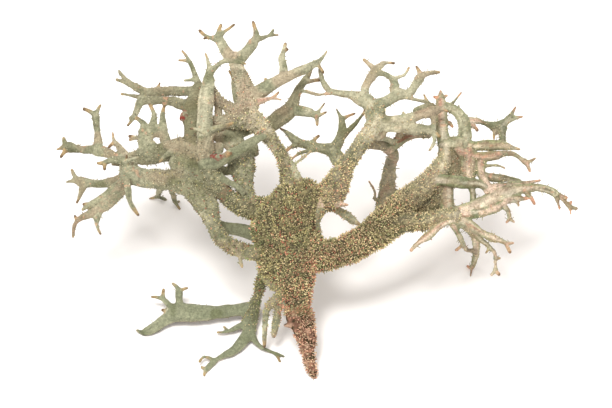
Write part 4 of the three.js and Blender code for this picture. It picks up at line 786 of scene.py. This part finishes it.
def shaped(mesh, table):
    """The remeshed skin with channelled backs, lumps and a wavering edge."""
    points = relaxed(mesh, values_of(mesh.vertices, "co"), RELAX_ROUNDS, RELAX_SHARE)
    set_positions(mesh, points)
    normals = values_of(mesh.vertex_normals, "vector")
    look = looks_at(points, normals, table)
    hollow = ramp(-look.outwards, 0.1, 0.7) * np.clip(1 - look.sideways ** 2, 0, 1)
    hollow *= np.clip(1 - 2 * look.warty, 0, 1)
    inwards = CHANNEL * look.thicknesses * hollow
    lump = LUMP * (2 * grain(points, "lump") - 1) + FINE_LUMP * (2 * grain(points, "fine_lump") - 1)
    lump = np.clip(lump, -LUMP_SHARE * look.widths, LUMP_SHARE * look.widths)
    wart = WARTY_LUMP * look.warty * (grain(points, "wart_lump") + 0.6 * grain(points, "wart_ripple") - 0.8)
    points = points + normals * (lump + wart - inwards)[:, None]
    points[:, 2] = np.maximum(points[:, 2], 0)
    set_positions(mesh, points)
    return points, values_of(mesh.vertex_normals, "vector"), look


def layered(colour, layers):
    """A colour with others laid over it, each with its share."""
    for tint, share in layers:
        colour = blend(colour, tint, share)
    return colour


def streaked(points, look, name):
    """Noise in long streaks that run along each lobe."""
    return grain(np.column_stack([1.6 * look.sideways, 0.25 * points[:, 0], 0.25 * points[:, 2]]), name)


def green_layers(points, look):
    """Grey and blue greens with pale, yellow, deep and warm patches."""
    return [
        (PALE_GREEN, ramp(0.5 * look.broad + 0.3 * look.middle + 0.35 * look.fine, 0.35, 0.95)),
        (BLUE_GREEN, 0.7 * look.blue),
        (PALE_BEIGE, look.pale * ramp(0.6 * look.middle + 0.5 * look.broad, 0.25, 0.75)),
        # Paler rims: pale lobe margins with a painted highlight.
        (PALE_GREEN, 0.3 * ramp(look.edge, 0.6, 0.95) * look.bare),
        (PEG_YELLOW, 0.45 * look.yellow * ramp(look.middle, 0.3, 0.8)),
        (DEEP_GREEN, 0.6 * ramp(grain(points, "deep"), 0.6, 0.85)),
        (WARM_GREY, 0.65 * ramp(grain(points, "warm"), 0.5, 0.7) * (1 - look.blue)),
    ]


def back_layers(points, look):
    """Pink or brown undersides, marbled lobes and a pink flush with red streaks."""
    back = blend(BROWN_BACK, PINK_BACK, ramp(grain(points, "back") + 0.5 * look.pink, 0.45, 0.95))
    veins = streaked(points, look, "vein")
    marble = look.marble * look.bare
    flush = ramp(grain(points, "flush") + 0.25 * (1 - np.abs(look.sideways)), 0.42, 0.72)
    return [
        (back, 0.75 * (ramp(-look.facing, 0.05, 0.5) * look.bare)),
        (MARBLE_GREEN, 0.8 * marble * ramp(veins, 0.56, 0.7)),
        (MARBLE_WHITE, 0.7 * marble * ramp(-veins, -0.44, -0.3)),
        (PINK_BACK, 0.75 * (look.pink * flush)),
        (RED_VEIN, 0.75 * look.pink * ramp(look.streaks, 0.6, 0.72)),
    ]


def mark_layers(points, look):
    """Fresh green borders, brown folds, darker lobes, rust, flecks and what lies between warts. The darker
    lobes are painted shade in a brown-green, and between warts lies painted shade in dark brown mixed with
    warty green.
    """
    border = ramp(np.abs(look.sideways) + 0.5 * look.middle + 0.5 * look.streaks, 0.85, 1.3)
    border = np.maximum(border, 0.6 * ramp(-look.widths, -0.8, -0.4) * ramp(look.middle, 0.3, 0.6))
    folds = 1 - np.abs(2 * grain(points, "fold") - 1)
    flecks = ramp(grain(points, "fleck"), 0.8, 0.88) * ramp(grain(points, "fleck_area"), 0.4, 0.6)
    return [
        (FRESH_GREEN, 0.85 * look.fresh * border * (1 - 0.5 * look.warty)),
        (BROWN_BACK, 0.5 * (look.fresh * look.bare) * ramp(folds, 0.84, 0.95)),
        # Painted shade: darker lobes in hollows and behind others, in a brown-green.
        (blend(BROWN_BACK, DEEP_GREEN, look.broad), 0.7 * look.dark),
        (RUST, look.rust * ramp(look.fine, 0.2, 0.7)),
        (PEG_PINK, 0.45 * flecks * (look.blue == 0)),
        # Painted shade between the warts, dark brown mixed with warty green.
        (blend(GAP_SHADE_BROWN, WARTY_GREEN, ramp(look.fine, 0.4, 0.9)), 0.9 * look.warty ** 1.3),
    ]


def tip_layers(look):
    """Tan lobe ends with brown tips, brighter where a lobe is fresh or pink."""
    bright = np.clip(look.fresh + 0.5 * look.pink, 0, 1) * ramp(look.middle, 0.25, 0.55)
    browned = ramp(0.8 - look.tips - 0.5 * look.middle, 0, 0.4) * (1 - 0.6 * bright) * (1 - 0.7 * look.blue)
    return [
        (blend(TIP_TAN, TIP_ORANGE, bright), 0.65 * ramp(2.1 - look.tips - 1.2 * look.broad, 0, 1)),
        (TIP_BROWN, 0.85 * browned),
    ]


def skin_colours(points, look):
    """Colours of a frond, laid over each other."""
    noises = {name: grain(points, name) for name in ("broad", "middle", "fine")}
    streaks = streaked(points, look, "streak")
    look = SimpleNamespace(**vars(look), **noises, streaks=streaks, bare=1 - look.warty)
    colour = layered(GREY_GREEN, [
        *green_layers(points, look),
        *back_layers(points, look),
        *mark_layers(points, look),
        *tip_layers(look),
    ])
    # Painted shade in fine creases along the bare lobes.
    crease_shade = 1 - 0.24 * ramp(-look.streaks, -0.36, -0.24) * look.bare
    lit = 1 + 0.18 * look.pale * look.fresh
    speckle = 0.84 + 0.3 * look.fine + 0.16 * grain(points, "speckle")
    return colour * (speckle * crease_shade * lit)[:, None]


def bark_colours(points, look):
    """Colours of the holdfast: warty near the trunk, then bark-brown and pale in streaks."""
    colour = layered(BARK, [
        (BARK_PALE, 0.6 * ramp(grain(points * np.array([1.0, 0.35, 0.35]), "bark"), 0.5, 0.85)),
        (GAP_SHADE_BROWN, ramp(grain(points, "bark_gap"), 0.42, 0.56)),
        (PEG_PINK, 0.35 * ramp(grain(points, "bark_blush"), 0.6, 0.85)),
        (WARTY_GREEN, ramp(look.v, 10.5, 14)),
    ])
    return colour * (1.12 - 0.2 * ramp(look.v, 4, 8) + 0.4 * grain(points, "bark_speckle"))[:, None]


# Warts and hairs, which are pegs of two rings and a point

PEG_SIDES = 5
PEG_RINGS = ((0.0, 0.9), (0.72, 1.0))
PEG_ROOT = 0.14
PEG_TILT = 1.5
ROOT_SHADE = 0.45
TIP_SHADE = 1.08
TIP_BROWNING = 0.6
PEG_SPACING = 0.2
TRIES_A_PEG = 1.5
PEGS_A_MM2 = 22.0
BEND = 0.3

# Least value, and what chance adds to it
PEG_LENGTH = (0.22, 0.34)
PEG_RADIUS = (0.068, 0.042)
PEG_LIGHT = (0.64, 0.76)
HAIR_LENGTH = (0.25, 0.5)
HAIR_RADIUS = (0.055, 0.03)
HAIR_LIGHT = (0.7, 0.4)

BROWN_TIPPED = 0.22
FORKED = 0.3
FORK_TILT = 1.6
FORK_HEIGHT = 0.4
FORK_LENGTH = 0.62
FORK_RADIUS = 0.8
HAIR_SPACING = 0.4
HAIR_TILT = 0.9
HAIR_BROWNING = 0.35


def drawn(rng, count, least, spread):
    return least + spread * rng.random(count)


def spaced(points, spacing, rng):
    """Indexes of points that keep a distance from each other."""
    cells, kept = {}, []
    for index in rng.permutation(len(points)):
        x, y, z = points[index]
        cell = (int(x // spacing), int(y // spacing), int(z // spacing))
        crowd = (
            cells.get((cell[0] + i, cell[1] + j, cell[2] + k))
            for i in (-1, 0, 1) for j in (-1, 0, 1) for k in (-1, 0, 1)
        )
        if any(p and (p[0] - x) ** 2 + (p[1] - y) ** 2 + (p[2] - z) ** 2 < spacing ** 2 for p in crowd):
            continue
        cells[cell] = (x, y, z)
        kept.append(index)
    return np.array(kept, dtype=int)


def scattered(mesh, points, density, spacing, rng):
    """Random places on a mesh, with a vertex near each, at a distance from each other."""
    mesh.calc_loop_triangles()
    corners = values_of(mesh.loop_triangles, "vertices", 3, np.int64)
    a, b, c = (points[corners[:, i]] for i in range(3))
    areas = 0.5 * np.linalg.norm(np.cross(b - a, c - a), axis=1)
    weights = areas * density[corners].mean(axis=1)
    count = int(weights.sum())
    if count < 1:
        return np.zeros(0, dtype=int), np.zeros((0, 3))
    chosen = rng.choice(len(corners), count, p=weights / weights.sum())
    r, s = rng.random((2, count))
    r, s = np.where(r + s > 1, 1 - r, r), np.where(r + s > 1, 1 - s, s)
    places = a[chosen] + r[:, None] * (b - a)[chosen] + s[:, None] * (c - a)[chosen]
    kept = spaced(places, spacing, rng)
    return corners[chosen[kept], 0], places[kept]


def peg_faces():
    """Quads and triangles of one peg, open at its root."""
    quads, triangles = [], []
    top = (len(PEG_RINGS) - 1) * PEG_SIDES
    for side in range(PEG_SIDES):
        following = (side + 1) % PEG_SIDES
        for low in range(0, top, PEG_SIDES):
            quads.append((low + side, low + following, low + PEG_SIDES + following, low + PEG_SIDES + side))
        triangles.append((top + side, top + following, top + PEG_SIDES))
    return np.array(quads), np.array(triangles)


def peg_arrays(places, axes, lengths, radii, bends, colours, tips):
    """Vertices, faces and colours of many short pegs."""
    helper = np.where(np.abs(axes[:, 2:3]) < 0.9, [[0, 0, 1.0]], [[1.0, 0, 0]])
    first = unit(np.cross(axes, helper))
    second = np.cross(axes, first)
    roots = places - axes * PEG_ROOT
    rows, shades = [], []
    for height, girth in PEG_RINGS:
        centre = roots + axes * (height * (lengths + PEG_ROOT))[:, None] + bends * (height ** 2)
        for side in range(PEG_SIDES):
            angle = 2 * math.pi * side / PEG_SIDES
            rim = first * math.cos(angle) + second * math.sin(angle)
            rows.append(centre + rim * (girth * radii)[:, None])
            shade = blend(colours * ROOT_SHADE, colours, min(1, 1.6 * height))
            shades.append(blend(shade, tips, max(0.0, (height - 0.5) * 1.6)))
    rows.append(roots + axes * (lengths + PEG_ROOT)[:, None] + bends)
    shades.append(tips)
    vertices = np.stack(rows, axis=1).reshape(-1, 3)
    shades = np.stack(shades, axis=1).reshape(-1, 3)
    shift = (np.arange(len(places)) * len(rows))[:, None, None]
    quads, triangles = ((faces + shift).reshape(-1, faces.shape[1]) for faces in peg_faces())
    return vertices, quads, triangles, shades


def wart_density(look):
    """How much of the surface is covered with warts, from 0 to 1."""
    cover = look.warty ** 0.8
    stray = 0.04 + 0.25 * (1 - ramp(np.hypot(look.u + 2, look.v - 28), 8, 18))
    stray = np.where(look.blue > 0, 0.0, stray)
    return np.clip(np.maximum(cover, stray) * ramp(look.tips, 0.2, 3), 0, 1)


def peg_light(places, look, stem):
    """Broad patches of light and shade over the warts."""
    patches = 0.3 * ramp(grain(places, "peg_light"), 0.3, 0.7)
    bands = 0.16 * np.exp(-((look.v - 28) / 3) ** 2) + 0.34 * np.exp(-((look.v - 16) / 3.5) ** 2)
    bands = bands * np.exp(-((look.u - 3) / 3.5) ** 2) + 0.3 * (1 - ramp(look.v, 8, 11)) * stem
    return 0.92 + patches + bands + 0.04 * ramp(look.v, 28, 36)


def peg_colours(places, look, rng):
    """A colour for each peg: olive on the trunk and the right limb, grey further out, with painted shade on
    dark lobes and painted light and shade in patches.
    """
    def chance():
        return rng.random(len(places))

    pick = chance()
    warm = np.clip(1 - np.hypot(look.u - 4, 0.8 * (look.v - 22)) / 26, 0, 1) ** 0.7
    stem = ramp(look.u, -6, -3.5)
    low = (1 - ramp(look.v, 13, 26)) * (1 - ramp(look.u, 5, 12)) * stem
    glow = np.clip(1.2 - np.hypot(look.u - 2.5, 0.6 * (look.v - 20)) / 10, 0, 1)
    greenish = warm * (0.15 + 0.55 * ramp(grain(places, "green_patch"), 0.45, 0.65))
    patchy = ramp(grain(places, "red_patch"), 0.4, 0.7)
    reddish = 0.04 * warm + (0.35 * patchy * glow + 0.2 * low + 0.3 * (1 - ramp(look.v, 9, 15))) * stem
    paler = np.clip(0.5 * low + 0.8 * glow + ramp(look.u, -1, 8), 0, 1.2)
    blush = 0.03 + 0.3 * low * (0.3 + patchy) + 0.12 * look.pink * patchy
    colour = layered(PEG_GREY, [
        (PEG_OLIVE, warm),
        (PEG_YELLOW, 0.8 * (pick < 0.05 + 0.2 * warm)),
        (PEG_TAN, 0.85 * (pick > 0.92 - 0.14 * warm)),
        (PEG_DARK, 0.7 * ((pick > 0.45) & (pick < 0.6))),
        (PEG_GREEN, chance() < greenish),
        (PEG_RED, chance() < reddish),
        (PEG_TAN, 0.8 * (paler * chance())),
    ])
    blushed = chance() < blush
    colour = blend(colour, PEG_PINK * (0.75 + 0.5 * chance())[:, None], blushed)
    bark = blend(BARK, BARK_PALE, 1.3 * chance())
    colour = blend(colour, bark, 0.6 * (1 - ramp(look.v, 9.5, 13.5)) * stem)
    # Painted shade on pegs of dark lobes, with the painted light and shade of peg_light.
    shade = (1 - 0.4 * look.dark * (1 - 0.5 * warm)) * peg_light(places, look, stem)
    return colour * (shade * drawn(rng, len(places), *PEG_LIGHT))[:, None]


def warts(mesh, points, normals, look, seed):
    """Pegs over a skin, some of them forked."""
    rng = np.random.default_rng(seed)
    cover = wart_density(look) * (0.55 + 0.45 * ramp(grain(points, "wart_cover"), 0.25, 0.6))
    vertex, places = scattered(mesh, points, cover * PEGS_A_MM2 * TRIES_A_PEG, PEG_SPACING, rng)
    near = SimpleNamespace(**{key: values[vertex] for key, values in vars(look).items()})
    count = len(places)
    size = 0.55 + 0.45 * wart_density(near)
    axes = unit(normals[vertex] + PEG_TILT * unit(rng.random((count, 3)) - 0.5) * rng.random((count, 1)))
    lengths = drawn(rng, count, *PEG_LENGTH) * size
    radii = drawn(rng, count, *PEG_RADIUS) * (0.75 + 0.25 * size)
    bends = (rng.random((count, 3)) - 0.5) * BEND
    colours = peg_colours(places, near, rng)
    brown = rng.random(count) < BROWN_TIPPED
    tips = np.where(brown[:, None], blend(colours, TIP_BROWN, TIP_BROWNING), colours * TIP_SHADE)
    forked = np.flatnonzero(rng.random(count) < FORKED)
    side = unit(axes[forked] + FORK_TILT * (rng.random((len(forked), 3)) - 0.5))
    fork_places = places[forked] + axes[forked] * (FORK_HEIGHT * lengths[forked])[:, None]
    return peg_arrays(
        np.vstack([places, fork_places]),
        np.vstack([axes, side]),
        np.concatenate([lengths, FORK_LENGTH * lengths[forked]]),
        np.concatenate([radii, FORK_RADIUS * radii[forked]]),
        np.vstack([bends, 0.5 * bends[forked]]),
        np.vstack([colours, colours[forked]]),
        np.vstack([tips, tips[forked]]),
    )


def cilia(mesh, points, normals, look, seed):
    """Fine hairs along the edges of the lobes, most of them at the right."""
    rng = np.random.default_rng(seed)
    edge = ramp(look.edge, 0.75, 0.95) * (look.warty < 0.5) * ramp(look.tips, 0.2, 1.2)
    density = edge * (0.25 + 1.1 * ramp(look.u, 14, 24))
    vertex, places = scattered(mesh, points, density, HAIR_SPACING, rng)
    count = len(places)
    axes = unit(normals[vertex] + HAIR_TILT * (rng.random((count, 3)) - 0.5))
    lengths = drawn(rng, count, *HAIR_LENGTH)
    radii = drawn(rng, count, *HAIR_RADIUS)
    bends = (rng.random((count, 3)) - 0.5) * BEND
    colours = PEG_GREY * drawn(rng, count, *HAIR_LIGHT)[:, None]
    tips = blend(colours, TIP_BROWN, HAIR_BROWNING)
    return peg_arrays(places, axes, lengths, radii, bends, colours, tips)


# Objects

def colour_layer(mesh, colours):
    layer = mesh.color_attributes.new("tint", "FLOAT_COLOR", "POINT")
    rows = np.ones((len(mesh.vertices), 4), dtype=np.float32)
    rows[:, :3] = np.clip(colours, 0, 1)
    layer.data.foreach_set("color", rows.ravel())


def shown(name, mesh, colours, surface):
    """A piece of the clump from a mesh in millimetres."""
    colour_layer(mesh, colours)
    mesh.transform(Matrix.Scale(MM, 4))
    mesh.name = name
    mesh.materials.clear()
    mesh.materials.append(surface)
    mesh.shade_smooth()
    piece = bpy.data.objects.new(name, mesh)
    bpy.context.scene.collection.objects.link(piece)
    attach(piece, "root")
    return piece


def peg_piece(name, batches, surface):
    """One piece of all the pegs of a frond."""
    first, vertices, faces, shades = 0, [], [], []
    for points, quads, triangles, colours in batches:
        vertices.append(points)
        faces += (quads + first).tolist() + (triangles + first).tolist()
        shades.append(colours)
        first += len(points)
    points = np.vstack(vertices)
    points[:, 2] = np.maximum(points[:, 2], 0)
    mesh = bpy.data.meshes.new(name)
    mesh.from_pydata(points.tolist(), [], faces)
    return shown(name, mesh, np.vstack(shades), surface)


# Materials

def fill(owner, node, inputs):
    """Sets each input of a node to a value, or joins it to an output of another node."""
    for key, value in inputs.items():
        if isinstance(value, bpy.types.NodeSocket):
            owner.node_tree.links.new(value, node.inputs[key])
        else:
            node.inputs[key].default_value = value
    return node


def plain_material(name, inputs):
    made = bpy.data.materials.new(name)
    made.use_nodes = True
    fill(made, made.node_tree.nodes["Principled BSDF"], inputs)
    return made


def material(name, roughness, speckle_size, speckle, bump_size, bump, sheen=0.0):
    """A matt surface with its tint broken up by a fine speckle and a bump."""
    made = plain_material(name, {"Specular IOR Level": 0.25, "Sheen Weight": sheen})
    nodes = made.node_tree.nodes
    tint = nodes.new("ShaderNodeAttribute")
    tint.attribute_name = "tint"
    place = nodes.new("ShaderNodeTexCoord").outputs["Object"]

    def node(kind, output, inputs):
        return fill(made, nodes.new("ShaderNode" + kind), inputs).outputs[output]

    def noise(size, detail):
        return node("TexNoise", "Fac", {"Scale": 1 / (size * MM), "Detail": detail, "Vector": place})

    spread = node("MapRange", "Result", {
        "From Min": 0.3, "From Max": 0.7, "To Min": 1 - speckle, "To Max": 1 + speckle,
        "Value": noise(speckle_size, 3),
    })
    shade = nodes.new("ShaderNodeVectorMath")
    shade.operation = "SCALE"
    fill(made, shade, {0: tint.outputs["Color"], "Scale": spread})
    fill(made, nodes["Principled BSDF"], {
        "Base Color": shade.outputs["Vector"],
        "Roughness": node("MapRange", "Result", {
            "To Min": roughness - 0.08, "To Max": min(1, roughness + 0.08),
            "Value": noise(4 * speckle_size, 2),
        }),
        "Normal": node("Bump", "Normal", {
            "Strength": bump, "Distance": 0.15 * MM, "Height": noise(bump_size, 4),
        }),
    })
    return made


# Clump

WART_SEED = 41
CILIA_SEED = 77


def build_clump():
    """A skin and its warts and hairs for each frond, in place of its solid."""
    skin = material("lichen_skin", 0.85, speckle_size=0.28, speckle=0.28, bump_size=0.3, bump=0.7,
                    sheen=0.08)
    wart_skin = material("wart_skin", 0.8, speckle_size=0.2, speckle=0.2, bump_size=0.15, bump=0.3)
    bark = material("holdfast_bark", 0.88, speckle_size=0.3, speckle=0.25, bump_size=0.3, bump=0.8)
    for number, (name, branches) in enumerate(FRONDS.items()):
        tubes = [part for branch in branches + SPURS.get(name, []) for part in branch_tubes(branch)]
        mesh = joined_mesh(tubes)
        points, normals, look = shaped(mesh, section_table(tubes))
        surface, colours = (bark, bark_colours) if name == "holdfast" else (skin, skin_colours)
        batches = [
            warts(mesh, points, normals, look, WART_SEED + number),
            cilia(mesh, points, normals, look, CILIA_SEED + number),
        ]
        piece = shown(f"{name}_skin", mesh, colours(points, look), surface)
        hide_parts(name)
        pegs = peg_piece(f"{name}_warts", batches, wart_skin)


# Stage

VIEW_WIDTH = 110.16
VIEW_CENTRE_V = 31.32
CAMERA_DISTANCE = 1500
SENSOR = 36
FLOOR_SIZE = 1.6
FLOOR_COLOUR = (0.95, 0.92, 0.89, 1)
KEY_FROM = (-0.24, -0.18, 1.2)
KEY_SIZE = 0.4
KEY_POWER = 11.4
WORLD_COLOUR = (0.99, 0.98, 0.975, 1)


def placed(name, data, location, target):
    """A camera or lamp that looks at a point."""
    obj = bpy.data.objects.new(name, data)
    obj.location = Vector(location)
    obj.rotation_euler = (Vector(target) - obj.location).to_track_quat("-Z", "Y").to_euler()
    bpy.context.scene.collection.objects.link(obj)
    return obj


def build_stage():
    """Camera, white floor, a large lamp and a white world."""
    scene = bpy.context.scene
    scene.view_settings.view_transform = "Standard"
    target = leaning_point(0, VIEW_CENTRE_V, droop(0, VIEW_CENTRE_V)) * MM
    lens = bpy.data.cameras.new("camera")
    lens.sensor_width = SENSOR
    lens.lens = SENSOR * CAMERA_DISTANCE / VIEW_WIDTH
    lens.clip_start = 0.1
    lens.clip_end = 10
    scene.camera = placed("camera", lens, target + FAN_FACING * CAMERA_DISTANCE * MM, target)
    bpy.ops.mesh.primitive_plane_add(size=FLOOR_SIZE, location=(0, 0, 0))
    floor = bpy.context.object
    floor.name = "floor"
    floor.data.materials.append(plain_material("white_table", {
        "Base Color": FLOOR_COLOUR, "Roughness": 0.9, "Specular IOR Level": 0.1,
    }))
    key = bpy.data.lights.new("key", "AREA")
    key.size = KEY_SIZE
    key.energy = KEY_POWER
    placed("key", key, KEY_FROM, (0, 0, 0))
    world = bpy.data.worlds.new("studio")
    world.use_nodes = True
    fill(world, world.node_tree.nodes["Background"], {"Strength": 1.0, "Color": WORLD_COLOUR})
    scene.world = world


build_stage()
build_clump()
